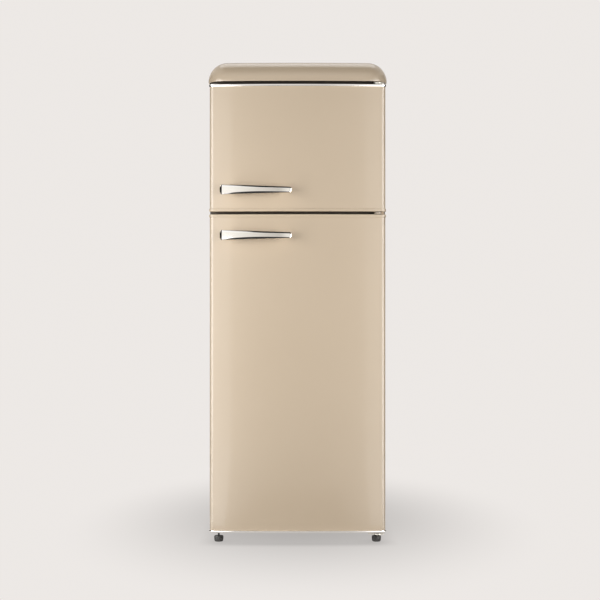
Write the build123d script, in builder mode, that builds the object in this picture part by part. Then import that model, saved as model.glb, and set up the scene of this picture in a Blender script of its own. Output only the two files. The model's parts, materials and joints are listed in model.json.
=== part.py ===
from build123d import *
import os

# A retro fridge with a freezer on top: two crowned doors, a bullnose top cap and chrome handles.
# Millimetres. X runs to the viewer's right, Y to the back and Z up. The origin is on the floor, in the
# middle of the footprint. Both doors turn about one vertical line near the right edge.

os.makedirs("parts", exist_ok=True)

# Heights from the floor up
DOOR_BOTTOM = 36
FRIDGE_DOOR_HEIGHT = 974.5
DOOR_SPLIT = 8.5
FREEZER_DOOR_HEIGHT = 390
CAP_GAP = 8.5
CAP_HEIGHT = 62.5

# Depths from the handle's front to the wall behind
HANDLE_REACH = 45
DOOR_THICKNESS = 52
DOOR_GAP = 12
BODY_DEPTH = 478
WALL_SPACE = 38

# Cabinet shell
CABINET_WIDTH = 540
CABINET_LIFT = 6
SHEET = 1.2
REAR_FLANGE = 12
RAIL_LAND = 5
SIDE_WALL = 45
BACK_WALL = 48
TOP_WALL = 53
FLOOR_WALL = 50
MULLION = 60
LINER_WALL = 2.5
LINER_LIP = 14
LINER_CORNER = 18
LINER_SIDE_CORNER = 15

# Compressor niche
NICHE_DEPTH = 185
NICHE_HEIGHT = 225
NICHE_WALL = 34
PLATE = 2

# Top cap
CAP_OVERHANG = 5
CAP_NOSE = 3
CAP_LAP = 8
CAP_CORNER = 62
CAP_EDGE = 58
CAP_WALL = 3
BOSS_SIZE = 36

# Doors
DOOR_INSET = 1
DOOR_CROWN = 12
DOOR_EDGE = 13
DOOR_BACK_EDGE = 6
DOOR_RETURN = 24
TRIM_HEIGHT = 7.5
END_HEIGHT = 9
END_LIP = 2
END_EDGE = 2
PLUG_DEPTH = 12
PLUG_FIT = 0.2
LINER_EDGE = 7
DYKE_CLEARANCE = 11
DYKE_WIDTH = 26
DYKE_REACH = 30
DYKE_CORNER = 24
DYKE_EDGE = 6
GASKET_LAND = 4
GASKET_WIDTH = 16
GASKET_FOOT = 3
GASKET_STEP = 2.5
GASKET_CORNER = 12
SEAL_GAP = 0.4

# Hinges
HINGE_INSET = 22
HINGE_SETBACK = 25
PIN_RADIUS = 4
PIN_ENGAGEMENT = 15
RUNNING_FIT = 0.05
BUSH_WALL = 3
BUSH_RIM = 2.5
WASHER_GAP = 0.25
LEAF = 3
BOTTOM_LEAF = 4
EYE_RADIUS = 12
FLANGE_HEIGHT = 32
HINGE_GRIP = 55
HINGE_TAIL = 30
HINGE_MARGIN = 3

# Handles
HANDLE_LENGTH = 219
HANDLE_START = 33
HANDLE_WIDE = 30.6
HANDLE_NARROW = 17
HANDLE_DEPTH = 15
HANDLE_BOW = 5
HANDLE_ROUND = 5
HANDLE_BULGE = 8
HANDLE_ABOVE_SPLIT = 68.7
HANDLE_BELOW_SPLIT = 69.2
POST_LENGTH = 20
POST_WIDTH = 11
POST_INSET = 26

# Feet and rollers
FOOT_INSET = 25.5
FOOT_SETBACK = 20
FOOT_HEIGHT = 18.6
FOOT_RADIUS = 14.5
FOOT_TOE_RADIUS = 13
FOOT_EDGE = 3.5
STUD_RADIUS = 3.2
STUD_RISE = 12
STUD_ROOM = 2
FOOT_BRACKET_WIDTH = 44
ROLLER_INSET = 55
ROLLER_SETBACK = 45
ROLLER_RADIUS = 15
ROLLER_WIDTH = 18
ROLLER_EDGE = 2
AXLE_RADIUS = 3
ROLLER_PLAY = 1

# Shelves, drawer and bins
SHELF_SETBACK = 112
SHELF_CLEARANCE = 2
SHELF_BACK_CLEARANCE = 8
LEDGE_WIDTH = 9
LEDGE_HEIGHT = 6
GLASS = 4
GLASS_CORNER = 5
TRIM_LIP = 3
TRIM_GRIP = 9
COVER_LIFT = 22
SHELF_SPACE = 172
SHELF_COUNT = 4
FREEZER_SHELF_LIFT = 155
FREEZER_SHELF_SETBACK = 92
WIRE_RADIUS = 2
WIRE_COUNT = 21
RAIL_RADIUS = 3
DRAWER_WALL = 2.5
DRAWER_SIDE_CLEARANCE = 9
DRAWER_GAP = 0.6
DRAWER_HEADROOM = 9
DRAWER_CORNER = 19
DRAWER_LIP = 14
BIN_WALL = 2.4
BIN_CORNER = 24
BIN_REACH = 98
BIN_CLEARANCE = 1
BIN_HEIGHT = 82
BIN_FRONT_DROP = 22
BIN_LIFTS = (732, 572)
BOTTLE_BIN_LIFT = 232
BOTTLE_BIN_HEIGHT = 128
FREEZER_BIN_LIFT = 96
FREEZER_BIN_REACH = 74
LUG_HEIGHT = 8
LUG_WIDTH = 9

# Control housing under the fridge ceiling
HOUSING_WIDTH = 230
HOUSING_DEPTH = 130
HOUSING_HEIGHT = 44
HOUSING_SETBACK = 62
HOUSING_EDGE = 8
KNOB_OFFSET = 62
KNOB_RADIUS = 17
KNOB_LENGTH = 13
KNOB_TAPER = -4
KNOB_EDGE = 2
KNOB_GRIP = 27
KNOB_GAP = 0.5
SHAFT_RADIUS = 3
SHAFT_LENGTH = 12
LAMP_WIDTH = 92
LAMP_DEPTH = 66
LAMP_THICKNESS = 7
LAMP_OFFSET = 48

# Evaporator, condenser and compressor. A tube's bends take a little under half of its pitch.
BEND_SHARE = 0.45
EVAPORATOR_INSET = 25
EVAPORATOR_HEIGHT = 270
EVAPORATOR_PLATE = 1.6
EVAPORATOR_STANDOFF = 9
EVAPORATOR_TUBE = 3
EVAPORATOR_PASSES = 6
CONDENSER_INSET = 70
CONDENSER_LIFT = 36
CONDENSER_PITCH = 62
CONDENSER_PASSES = 16
CONDENSER_STANDOFF = 17
CONDENSER_TUBE = 2.5
CONDENSER_RETURN = 38
GRID_WIRE = 0.9
GRID_COUNT = 30
GRID_OVERHANG = 18
SPACER_WIDTH = 26
SPACER_HEIGHT = 34
SPACER_EDGE = 4
COMPRESSOR_OFFSET = 60
COMPRESSOR_LENGTH = 156
COMPRESSOR_WIDTH = 122
COMPRESSOR_HEIGHT = 150
COMPRESSOR_DOME = 34
SEAM_LIP = 4
SEAM_HEIGHT = 7
MOUNT_LENGTH = 196
MOUNT_WIDTH = 104
MOUNT_PLATE = 3
GROMMET_RADIUS = 11
GROMMET_HEIGHT = 20
GROMMET_INSET = 14
TERMINAL_LENGTH = 34
TERMINAL_HEIGHT = 62
TERMINAL_WIDTH = 66
TERMINAL_EDGE = 5
TRAY_LENGTH = 176
TRAY_WIDTH = 128
TRAY_HEIGHT = 30
TRAY_WALL = 2
TRAY_EDGE = 10
DRIER_RADIUS = 9
DRIER_LENGTH = 92
DRIER_NECK = 12
DRIER_DROP = 20
PIPE_RADIUS = 3
PIPE_BEND = 14
GLAND_RADIUS = 10
GLAND_BORE = 4.5
GLAND_LENGTH = 14
GLAND_INSET = 34
GLAND_LIFT = 40

# Heights worked out
FRIDGE_DOOR_TOP = DOOR_BOTTOM + FRIDGE_DOOR_HEIGHT
FREEZER_DOOR_BOTTOM = FRIDGE_DOOR_TOP + DOOR_SPLIT
FREEZER_DOOR_TOP = FREEZER_DOOR_BOTTOM + FREEZER_DOOR_HEIGHT
SPLIT_MIDDLE = FRIDGE_DOOR_TOP + DOOR_SPLIT / 2
CAP_BOTTOM = FREEZER_DOOR_TOP + CAP_GAP
CAP_TOP = CAP_BOTTOM + CAP_HEIGHT
CABINET_BOTTOM = DOOR_BOTTOM + CABINET_LIFT
CABINET_TOP = CAP_BOTTOM + CAP_LAP
FREEZER_CEILING = CABINET_TOP - TOP_WALL
FREEZER_FLOOR = SPLIT_MIDDLE + MULLION / 2
FRIDGE_CEILING = SPLIT_MIDDLE - MULLION / 2
FRIDGE_FLOOR = CABINET_BOTTOM + FLOOR_WALL
NICHE_TOP = CABINET_BOTTOM + NICHE_HEIGHT
STEP_TOP = NICHE_TOP + NICHE_WALL
COVER_Z = STEP_TOP + COVER_LIFT
SHELF_LEVELS = [COVER_Z + SHELF_SPACE * step for step in range(SHELF_COUNT)]
FREEZER_SHELF_Z = FREEZER_FLOOR + FREEZER_SHELF_LIFT

# Depths worked out
Y_HANDLE = -(HANDLE_REACH + DOOR_THICKNESS + DOOR_GAP + BODY_DEPTH + WALL_SPACE) / 2
Y_DOOR = Y_HANDLE + HANDLE_REACH
Y_DOOR_BACK = Y_DOOR + DOOR_THICKNESS
Y_FRONT = Y_DOOR_BACK + DOOR_GAP
Y_BACK = Y_FRONT + BODY_DEPTH
Y_WALL = Y_BACK + WALL_SPACE
Y_LINER = Y_FRONT + SHEET
Y_LINER_BACK = Y_BACK - BACK_WALL
Y_NICHE = Y_BACK - NICHE_DEPTH
Y_STEP = Y_NICHE - NICHE_WALL
Y_SHELF = Y_FRONT + SHELF_SETBACK
Y_SHELF_BACK = Y_LINER_BACK - SHELF_BACK_CLEARANCE
Y_EVAPORATOR = Y_LINER_BACK - EVAPORATOR_STANDOFF
Y_DOOR_LINER = Y_DOOR_BACK + LINER_WALL
Y_DYKE = Y_FRONT + DYKE_REACH
Y_TUBE = Y_BACK + CONDENSER_STANDOFF
HINGE_Y = Y_DOOR_BACK - HINGE_SETBACK

# Widths worked out
HALF = CABINET_WIDTH / 2
DOOR_WIDTH = CABINET_WIDTH - 2 * DOOR_INSET
INSIDE = HALF - SIDE_WALL
RAIL_HALF = INSIDE + RAIL_LAND
DYKE_HALF = INSIDE - DYKE_CLEARANCE
BIN_HALF = DYKE_HALF - DYKE_WIDTH - BIN_CLEARANCE
SHELF_HALF = INSIDE - SHELF_CLEARANCE
GASKET_HALF = INSIDE + GASKET_LAND + GASKET_WIDTH
HINGE_X = DOOR_WIDTH / 2 - HINGE_INSET
HINGE_RIGHT = DOOR_WIDTH / 2 - HINGE_MARGIN
FOOT_X = HALF - FOOT_INSET
ROLLER_X = HALF - ROLLER_INSET
FOOT_Y = Y_FRONT + FOOT_SETBACK
BUSH_RADIUS = PIN_RADIUS + RUNNING_FIT + BUSH_WALL


def keep(piece, name):
    """Label a finished piece and write it out."""
    piece.part.label = name
    export_step(piece.part, f"parts/{name}.step")


def upright(y):
    """A front-facing vertical plane at depth y: its own axes are X and Z, and -amount goes to the back."""
    return Plane.XZ.offset(-y)


def slab(x0, x1, y0, y1, z0, z1, mode=Mode.ADD):
    """A plain block between two corners, inside the current part."""
    with Locations(((x0 + x1) / 2, (y0 + y1) / 2, (z0 + z1) / 2)):
        Box(x1 - x0, y1 - y0, z1 - z0, mode=mode)


def bore(radius, x, y, z0, z1, mode=Mode.SUBTRACT):
    """A vertical round hole, or pin, between two heights, inside the current part."""
    with Locations((x, y, (z0 + z1) / 2)):
        Cylinder(radius, z1 - z0, mode=mode)


def pipe(points, radius, bend):
    """A round tube along straight runs joined by bends of one radius."""
    with BuildPart() as tube:
        with BuildLine():
            route = FilletPolyline(*points, radius=bend)
        with BuildSketch(Plane(origin=route @ 0, z_dir=route % 0)):
            Circle(radius)
        sweep()
    return tube.part


# Cabinet shell

with BuildPart() as right_side_panel:
    with BuildSketch(Plane.XY.offset(CABINET_BOTTOM)):
        with BuildLine():
            Polyline(
                (RAIL_HALF, Y_FRONT),
                (HALF, Y_FRONT),
                (HALF, Y_BACK),
                (HALF - REAR_FLANGE, Y_BACK),
                (HALF - REAR_FLANGE, Y_BACK - SHEET),
                (HALF - SHEET, Y_BACK - SHEET),
                (HALF - SHEET, Y_FRONT + SHEET),
                (RAIL_HALF, Y_FRONT + SHEET),
                close=True,
            )
        make_face()
    extrude(amount=CABINET_TOP - CABINET_BOTTOM)
keep(right_side_panel, "right_side_panel")

with BuildPart() as left_side_panel:
    add(mirror(right_side_panel.part, about=Plane.YZ, mode=Mode.PRIVATE))
keep(left_side_panel, "left_side_panel")

with BuildPart() as top_panel:
    slab(-HALF + SHEET, HALF - SHEET, Y_LINER, Y_BACK - SHEET, CABINET_TOP - SHEET, CABINET_TOP)
keep(top_panel, "top_panel")

with BuildPart() as back_panel:
    slab(
        -HALF + SHEET, HALF - SHEET,
        Y_BACK - 2 * SHEET, Y_BACK - SHEET,
        NICHE_TOP, CABINET_TOP - SHEET,
    )
keep(back_panel, "back_panel")

with BuildPart() as niche_panel:
    with BuildSketch(Plane.YZ):
        with BuildLine():
            Polyline(
                (Y_NICHE, CABINET_BOTTOM + SHEET),
                (Y_NICHE, NICHE_TOP),
                (Y_BACK - 2 * SHEET, NICHE_TOP),
                (Y_BACK - 2 * SHEET, NICHE_TOP + SHEET),
                (Y_NICHE - SHEET, NICHE_TOP + SHEET),
                (Y_NICHE - SHEET, CABINET_BOTTOM + SHEET),
                close=True,
            )
        make_face()
    extrude(amount=HALF - SHEET, both=True)
keep(niche_panel, "niche_panel")

with BuildPart() as bottom_plate:
    slab(-HALF + SHEET, HALF - SHEET, Y_LINER, Y_NICHE, CABINET_BOTTOM, CABINET_BOTTOM + SHEET)
    for side in (-1, 1):
        bore(STUD_RADIUS + STUD_ROOM, side * FOOT_X, FOOT_Y, CABINET_BOTTOM, CABINET_BOTTOM + SHEET)
keep(bottom_plate, "bottom_plate")

with BuildPart() as compressor_plate:
    slab(-HALF + SHEET, HALF - SHEET, Y_NICHE, Y_BACK - SHEET, CABINET_BOTTOM, CABINET_BOTTOM + PLATE)
keep(compressor_plate, "compressor_plate")

RAIL_SPANS = (
    (CABINET_BOTTOM, FRIDGE_FLOOR - RAIL_LAND),
    (FRIDGE_CEILING + RAIL_LAND, FREEZER_FLOOR - RAIL_LAND),
    (FREEZER_CEILING + RAIL_LAND, CABINET_TOP),
)
with BuildPart() as front_rails:
    for low, high in RAIL_SPANS:
        slab(-RAIL_HALF, RAIL_HALF, Y_FRONT, Y_LINER, low, high)
keep(front_rails, "front_rails")


# Liners: each is a rounded box, open to the front, with a lip behind the front rails

FREEZER_PROFILE = (
    (Y_LINER, FREEZER_FLOOR),
    (Y_LINER_BACK, FREEZER_FLOOR),
    (Y_LINER_BACK, FREEZER_CEILING),
    (Y_LINER, FREEZER_CEILING),
)
FRIDGE_PROFILE = (
    (Y_LINER, FRIDGE_FLOOR),
    (Y_STEP, FRIDGE_FLOOR),
    (Y_STEP, STEP_TOP),
    (Y_LINER_BACK, STEP_TOP),
    (Y_LINER_BACK, FRIDGE_CEILING),
    (Y_LINER, FRIDGE_CEILING),
)


def compartment(profile, grow):
    """The space of a compartment as a solid, grown outward by a wall."""
    with BuildPart() as space:
        with BuildSketch(Plane.YZ) as side_view:
            with BuildLine():
                Polyline(*profile, close=True)
            make_face()
            fillet([corner for corner in side_view.vertices() if corner.X > Y_LINER + SHEET], LINER_CORNER)
            if grow:
                offset(amount=grow)
        extrude(amount=INSIDE + grow, both=True)
        ends = space.faces().filter_by(Axis.X)
        rims = [edge for face in ends for edge in face.edges() if edge.center().Y > Y_LINER + LINER_WALL]
        fillet(rims, LINER_SIDE_CORNER + grow)
        slab(
            -CABINET_WIDTH, CABINET_WIDTH,
            Y_LINER - DOOR_GAP, Y_LINER,
            0, CAP_TOP,
            mode=Mode.SUBTRACT,
        )
    return space.part


def lip(low, high):
    """The block that a liner's front lip fills, opening included."""
    with BuildPart() as block:
        with BuildSketch(upright(Y_LINER)):
            with Locations((0, (low + high) / 2)):
                Rectangle(2 * (INSIDE + LINER_LIP), high - low + 2 * LINER_LIP)
        extrude(amount=-LINER_WALL)
    return block.part


def ledges(levels, front):
    """Shelf ledges moulded on both side walls, each with its top at a shelf's underside."""
    for level in levels:
        for side in (-1, 1):
            inner, outer = sorted((side * (INSIDE - LEDGE_WIDTH), side * (INSIDE + LINER_WALL / 2)))
            slab(inner, outer, front, Y_SHELF_BACK - LINER_SIDE_CORNER, level - LEDGE_HEIGHT, level)


freezer_space = compartment(FREEZER_PROFILE, 0)
freezer_block = compartment(FREEZER_PROFILE, LINER_WALL)
freezer_lip = lip(FREEZER_FLOOR, FREEZER_CEILING)
fridge_space = compartment(FRIDGE_PROFILE, 0)
fridge_block = compartment(FRIDGE_PROFILE, LINER_WALL)
fridge_lip = lip(FRIDGE_FLOOR, FRIDGE_CEILING)

FREEZER_SHELF_FRONT = Y_FRONT + FREEZER_SHELF_SETBACK
with BuildPart() as freezer_liner:
    add(freezer_block)
    add(freezer_lip)
    add(freezer_space, mode=Mode.SUBTRACT)
    ledges([FREEZER_SHELF_Z], FREEZER_SHELF_FRONT)
keep(freezer_liner, "freezer_liner")

with BuildPart() as fridge_liner:
    add(fridge_block)
    add(fridge_lip)
    add(fridge_space, mode=Mode.SUBTRACT)
    ledges(SHELF_LEVELS, Y_SHELF + TRIM_GRIP)
keep(fridge_liner, "fridge_liner")

with BuildPart() as insulation_foam:
    slab(
        -HALF + SHEET, HALF - SHEET,
        Y_LINER, Y_BACK - 2 * SHEET,
        CABINET_BOTTOM + SHEET, CABINET_TOP - SHEET,
    )
    slab(-HALF, HALF, Y_NICHE - SHEET, Y_BACK, CABINET_BOTTOM, NICHE_TOP + SHEET, mode=Mode.SUBTRACT)
    for hollow in (freezer_block, freezer_lip, fridge_block, fridge_lip):
        add(hollow, mode=Mode.SUBTRACT)
    for side in (-1, 1):
        bore(STUD_RADIUS + STUD_ROOM, side * FOOT_X, FOOT_Y, CABINET_BOTTOM,
             CABINET_BOTTOM + SHEET + STUD_RISE + STUD_ROOM)
keep(insulation_foam, "insulation_foam")


# Top cap

def cap_block(wall):
    """The cap's bullnose block, drawn in by a wall on every side but its open underside."""
    half = HALF + CAP_OVERHANG - wall
    front = Y_DOOR - CAP_NOSE + wall
    back = Y_BACK + CAP_WALL - wall
    with BuildPart() as block:
        with BuildSketch(Plane.XY.offset(CAP_BOTTOM)) as plan:
            with BuildLine():
                nose = ThreePointArc((-half, front + DOOR_CROWN), (0, front), (half, front + DOOR_CROWN))
                Polyline(nose @ 1, (half, back), (-half, back), nose @ 0)
            make_face()
            fillet(plan.vertices().group_by(Axis.Y)[0], CAP_CORNER - wall)
        extrude(amount=CAP_HEIGHT - wall)
        top_edges = block.faces().sort_by(Axis.Z)[-1].edges().sort_by(Axis.Y)
        fillet(top_edges[:-1], CAP_EDGE - wall)
    return block.part


cap_outside = cap_block(0)
cap_inside = cap_block(CAP_WALL)
BOSS_X = HALF - CAP_EDGE - BOSS_SIZE
with BuildPart() as top_cap:
    add(cap_outside)
    add(cap_inside, mode=Mode.SUBTRACT)
    for boss_x in (-BOSS_X, BOSS_X):
        for boss_y in (Y_FRONT + BOSS_SIZE, Y_BACK - BOSS_SIZE):
            slab(
                boss_x - BOSS_SIZE / 2, boss_x + BOSS_SIZE / 2,
                boss_y - BOSS_SIZE / 2, boss_y + BOSS_SIZE / 2,
                CABINET_TOP, CAP_TOP - CAP_WALL / 2,
            )
keep(top_cap, "top_cap")


# Doors

def door_plan(grow, back, back_edge):
    """Plan outline of a door with its crowned front, grown outward by a margin."""
    half = DOOR_WIDTH / 2 + grow
    shoulder = Y_DOOR + DOOR_CROWN - grow
    with BuildSketch() as plan:
        with BuildLine():
            crown = ThreePointArc((-half, shoulder), (0, Y_DOOR - grow), (half, shoulder))
            Polyline(crown @ 1, (half, back), (-half, back), crown @ 0)
        make_face()
        fillet(plan.vertices().group_by(Axis.Y)[0], DOOR_EDGE + grow)
        fillet(plan.vertices().group_by(Axis.Y)[-1], back_edge)
    return plan.sketch


DOOR_OUTSIDE = door_plan(0, Y_DOOR_BACK, DOOR_BACK_EDGE)
DOOR_INSIDE = door_plan(-SHEET, Y_DOOR_BACK - SHEET, DOOR_BACK_EDGE - SHEET)
DOOR_PLUG = door_plan(-SHEET - PLUG_FIT, Y_DOOR_BACK - SHEET - PLUG_FIT, DOOR_BACK_EDGE - SHEET - PLUG_FIT)
DOOR_END = door_plan(END_LIP, Y_DOOR_BACK, DOOR_BACK_EDGE)


def door_sheet(low, high):
    """The folded outer sheet of a door: crowned front, sides and two returns at the back."""
    with BuildPart() as sheet:
        with BuildSketch(Plane.XY.offset(low)):
            add(DOOR_OUTSIDE)
            add(DOOR_INSIDE, mode=Mode.SUBTRACT)
            with Locations((0, Y_DOOR_BACK)):
                Rectangle(DOOR_WIDTH - 2 * DOOR_RETURN, 4 * SHEET, mode=Mode.SUBTRACT)
        extrude(amount=high - low)
    return sheet


def door_end(outer, seam):
    """An end moulding between the door's outer end and the sheet's edge, with a plug into the sheet."""
    inward = 1 if seam > outer else -1
    with BuildPart() as end:
        with BuildSketch(Plane.XY.offset(outer)):
            add(DOOR_END)
        extrude(amount=seam - outer)
        fillet(end.edges().group_by(Axis.Z)[0] + end.edges().group_by(Axis.Z)[-1], END_EDGE)
        with BuildSketch(Plane.XY.offset(seam)):
            add(DOOR_PLUG)
        extrude(amount=inward * PLUG_DEPTH)
        bore(BUSH_RADIUS, HINGE_X, HINGE_Y, *sorted((outer, seam + inward * PLUG_DEPTH)))
    return end


def door_foam(low, high):
    """The insulation that fills a door's sheet between its two plugs."""
    with BuildPart() as foam:
        with BuildSketch(Plane.XY.offset(low)):
            add(DOOR_INSIDE)
        extrude(amount=high - low)
    return foam


def door_liner(door_low, door_high, low, high, lugs):
    """The inner moulding of a door: a flat lip, a raised ring inside the opening and lugs for bins."""
    middle = (low + high) / 2
    with BuildPart() as liner:
        with BuildSketch(upright(Y_DOOR_LINER)):
            with Locations((0, middle)):
                RectangleRounded(2 * DYKE_HALF, high - low - 2 * DYKE_CLEARANCE, DYKE_CORNER)
                RectangleRounded(
                    2 * (DYKE_HALF - DYKE_WIDTH),
                    high - low - 2 * (DYKE_CLEARANCE + DYKE_WIDTH),
                    DYKE_CORNER / 2,
                    mode=Mode.SUBTRACT,
                )
        extrude(amount=Y_DOOR_LINER - Y_DYKE)
        fillet(liner.faces().sort_by(Axis.Y)[-1].edges(), DYKE_EDGE)
        slab(
            -DOOR_WIDTH / 2 + LINER_EDGE, DOOR_WIDTH / 2 - LINER_EDGE,
            Y_DOOR_BACK, Y_DOOR_LINER,
            door_low + LINER_EDGE, door_high - LINER_EDGE,
        )
        inner = DYKE_HALF - DYKE_WIDTH
        for level in lugs:
            for side in (-1, 1):
                near, far = sorted((side * (inner - LUG_WIDTH), side * (inner + DYKE_EDGE / 2)))
                slab(near, far, Y_DOOR_LINER, Y_DYKE - 2 * DYKE_EDGE, level - LUG_HEIGHT, level)
    return liner


def door_gasket(low, high):
    """The magnetic seal: a wide foot on the door's lip and a narrower bulb towards the cabinet."""
    middle = (low + high) / 2
    inner_width = 2 * (INSIDE + GASKET_LAND)
    inner_height = high - low + 2 * GASKET_LAND
    with BuildPart() as gasket:
        for start, stop, step in (
            (Y_DOOR_LINER, Y_DOOR_LINER + GASKET_FOOT, 0),
            (Y_DOOR_LINER + GASKET_FOOT, Y_FRONT - SEAL_GAP, GASKET_STEP),
        ):
            grown = 2 * (GASKET_WIDTH - step)
            with BuildSketch(upright(start)):
                with Locations((0, middle)):
                    RectangleRounded(inner_width + grown, inner_height + grown, GASKET_CORNER + GASKET_WIDTH)
                    RectangleRounded(
                        inner_width + 2 * step,
                        inner_height + 2 * step,
                        GASKET_CORNER,
                        mode=Mode.SUBTRACT,
                    )
            extrude(amount=start - stop)
    return gasket


def door_bin(level, height, reach):
    """An open-topped bin that stands on its lugs inside the raised ring, lower at its front."""
    back = Y_DOOR_LINER
    front = Y_FRONT + reach
    with BuildPart() as tray:
        for wall, mode in ((0, Mode.ADD), (BIN_WALL, Mode.SUBTRACT)):
            with BuildSketch(Plane.XY.offset(level + wall)) as plan:
                with Locations((0, (back + front) / 2)):
                    Rectangle(2 * (BIN_HALF - wall), front - back - 2 * wall)
                fillet(plan.vertices().group_by(Axis.Y)[-1], BIN_CORNER - wall)
            extrude(amount=height, mode=mode)
        with BuildSketch(Plane.YZ):
            with BuildLine():
                Polyline(
                    (Y_DYKE, level + height),
                    (front - BIN_CORNER, level + height - BIN_FRONT_DROP),
                    (front, level + height - BIN_FRONT_DROP),
                    (front, level + height),
                    close=True,
                )
            make_face()
        extrude(amount=BIN_HALF, both=True, mode=Mode.SUBTRACT)
    return tray


def door_handle(middle):
    """A cast handle: a tapered bar, wide at the door's free edge and bowed in plan, on two oval posts."""
    left = -DOOR_WIDTH / 2 + HANDLE_START
    right = left + HANDLE_LENGTH
    shoulder = left + HANDLE_BULGE
    tip = right - HANDLE_NARROW / 2
    with BuildPart() as bar:
        with BuildSketch(upright(Y_HANDLE)):
            with BuildLine():
                Line((shoulder, middle + HANDLE_WIDE / 2), (tip, middle + HANDLE_NARROW / 2))
                ThreePointArc(
                    (tip, middle + HANDLE_NARROW / 2),
                    (right, middle),
                    (tip, middle - HANDLE_NARROW / 2),
                )
                Line((tip, middle - HANDLE_NARROW / 2), (shoulder, middle - HANDLE_WIDE / 2))
                ThreePointArc(
                    (shoulder, middle - HANDLE_WIDE / 2),
                    (left, middle),
                    (shoulder, middle + HANDLE_WIDE / 2),
                )
            make_face()
        extrude(amount=-HANDLE_DEPTH - HANDLE_BOW)
        with BuildSketch(Plane.XY.offset(middle)):
            with BuildLine():
                front = ThreePointArc(
                    (left, Y_HANDLE + HANDLE_BOW),
                    ((left + right) / 2, Y_HANDLE),
                    (right, Y_HANDLE + HANDLE_BOW),
                )
                back = ThreePointArc(
                    (right, Y_HANDLE + HANDLE_BOW + HANDLE_DEPTH),
                    ((left + right) / 2, Y_HANDLE + HANDLE_DEPTH),
                    (left, Y_HANDLE + HANDLE_BOW + HANDLE_DEPTH),
                )
                Line(front @ 1, back @ 0)
                Line(back @ 1, front @ 0)
            make_face()
        extrude(amount=HANDLE_WIDE, both=True, mode=Mode.INTERSECT)
        fillet(bar.faces().sort_by(Axis.Y)[0].edges(), HANDLE_ROUND)
        with BuildSketch(upright(Y_HANDLE + HANDLE_DEPTH)):
            with Locations((left + POST_INSET, middle), (right - POST_INSET, middle)):
                SlotOverall(POST_LENGTH, POST_WIDTH)
        extrude(amount=Y_HANDLE + HANDLE_DEPTH - Y_DOOR - DOOR_CROWN)
        with BuildSketch(Plane.XY.offset(middle - HANDLE_WIDE)):
            add(DOOR_OUTSIDE)
        extrude(amount=2 * HANDLE_WIDE, mode=Mode.SUBTRACT)
    return bar


def door_bushes(low, high):
    """Two flanged bushes on the hinge line, in the lower and upper end mouldings."""
    rim = BUSH_RADIUS + BUSH_WALL
    with BuildPart() as bushes:
        for end, inward in ((low, 1), (high, -1)):
            bore(BUSH_RADIUS, HINGE_X, HINGE_Y, *sorted((end, end + inward * PIN_ENGAGEMENT)), mode=Mode.ADD)
            bore(rim, HINGE_X, HINGE_Y, *sorted((end, end - inward * BUSH_RIM)), mode=Mode.ADD)
        bore(PIN_RADIUS + RUNNING_FIT, HINGE_X, HINGE_Y, low - BUSH_RIM, high + BUSH_RIM)
    return bushes


def build_door(name, door_low, door_high, low_end, high_end, opening, bin_levels, handle_z):
    """The pieces of one door, apart from its bins: sheet, ends, foam, liner, seal, handle and bushes."""
    low_height, low_name = low_end
    high_height, high_name = high_end
    sheet_low = door_low + low_height
    sheet_high = door_high - high_height
    keep(door_sheet(sheet_low, sheet_high), f"{name}_door_sheet")
    keep(door_end(door_low, sheet_low), low_name)
    keep(door_end(door_high, sheet_high), high_name)
    keep(door_foam(sheet_low + PLUG_DEPTH, sheet_high - PLUG_DEPTH), f"{name}_door_foam")
    keep(door_liner(door_low, door_high, *opening, bin_levels), f"{name}_door_liner")
    keep(door_gasket(*opening), f"{name}_door_gasket")
    keep(door_handle(handle_z), f"{name}_handle")
    keep(door_bushes(door_low, door_high), f"{name}_door_bushes")


FREEZER_BIN_Z = FREEZER_FLOOR + FREEZER_BIN_LIFT
BOTTLE_BIN_Z = FRIDGE_FLOOR + BOTTLE_BIN_LIFT
FRIDGE_BIN_LEVELS = [FRIDGE_FLOOR + lift for lift in BIN_LIFTS]

build_door(
    "freezer",
    FREEZER_DOOR_BOTTOM,
    FREEZER_DOOR_TOP,
    (END_HEIGHT, "freezer_door_bottom_end"),
    (TRIM_HEIGHT, "freezer_door_top_trim"),
    (FREEZER_FLOOR, FREEZER_CEILING),
    [FREEZER_BIN_Z],
    SPLIT_MIDDLE + HANDLE_ABOVE_SPLIT,
)
build_door(
    "fridge",
    DOOR_BOTTOM,
    FRIDGE_DOOR_TOP,
    (TRIM_HEIGHT, "fridge_door_bottom_trim"),
    (END_HEIGHT, "fridge_door_top_end"),
    (FRIDGE_FLOOR, FRIDGE_CEILING),
    FRIDGE_BIN_LEVELS + [BOTTLE_BIN_Z],
    SPLIT_MIDDLE - HANDLE_BELOW_SPLIT,
)
keep(door_bin(FREEZER_BIN_Z, BIN_HEIGHT, FREEZER_BIN_REACH), "freezer_door_bin")
with BuildPart() as fridge_door_bins:
    for level in FRIDGE_BIN_LEVELS:
        add(door_bin(level, BIN_HEIGHT, BIN_REACH).part)
keep(fridge_door_bins, "fridge_door_bins")
keep(door_bin(BOTTLE_BIN_Z, BOTTLE_BIN_HEIGHT, BIN_REACH), "bottle_bin")


# Hinges: three brackets on one line, and their pins

TOP_LEAF_Z = FREEZER_DOOR_TOP + BUSH_RIM + WASHER_GAP
BOTTOM_LEAF_Z = DOOR_BOTTOM - BUSH_RIM - WASHER_GAP - BOTTOM_LEAF
MIDDLE_LEAF_Z = SPLIT_MIDDLE - LEAF / 2
HINGE_LEFT = GASKET_HALF + SEAL_GAP + RAIL_LAND / 4


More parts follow.
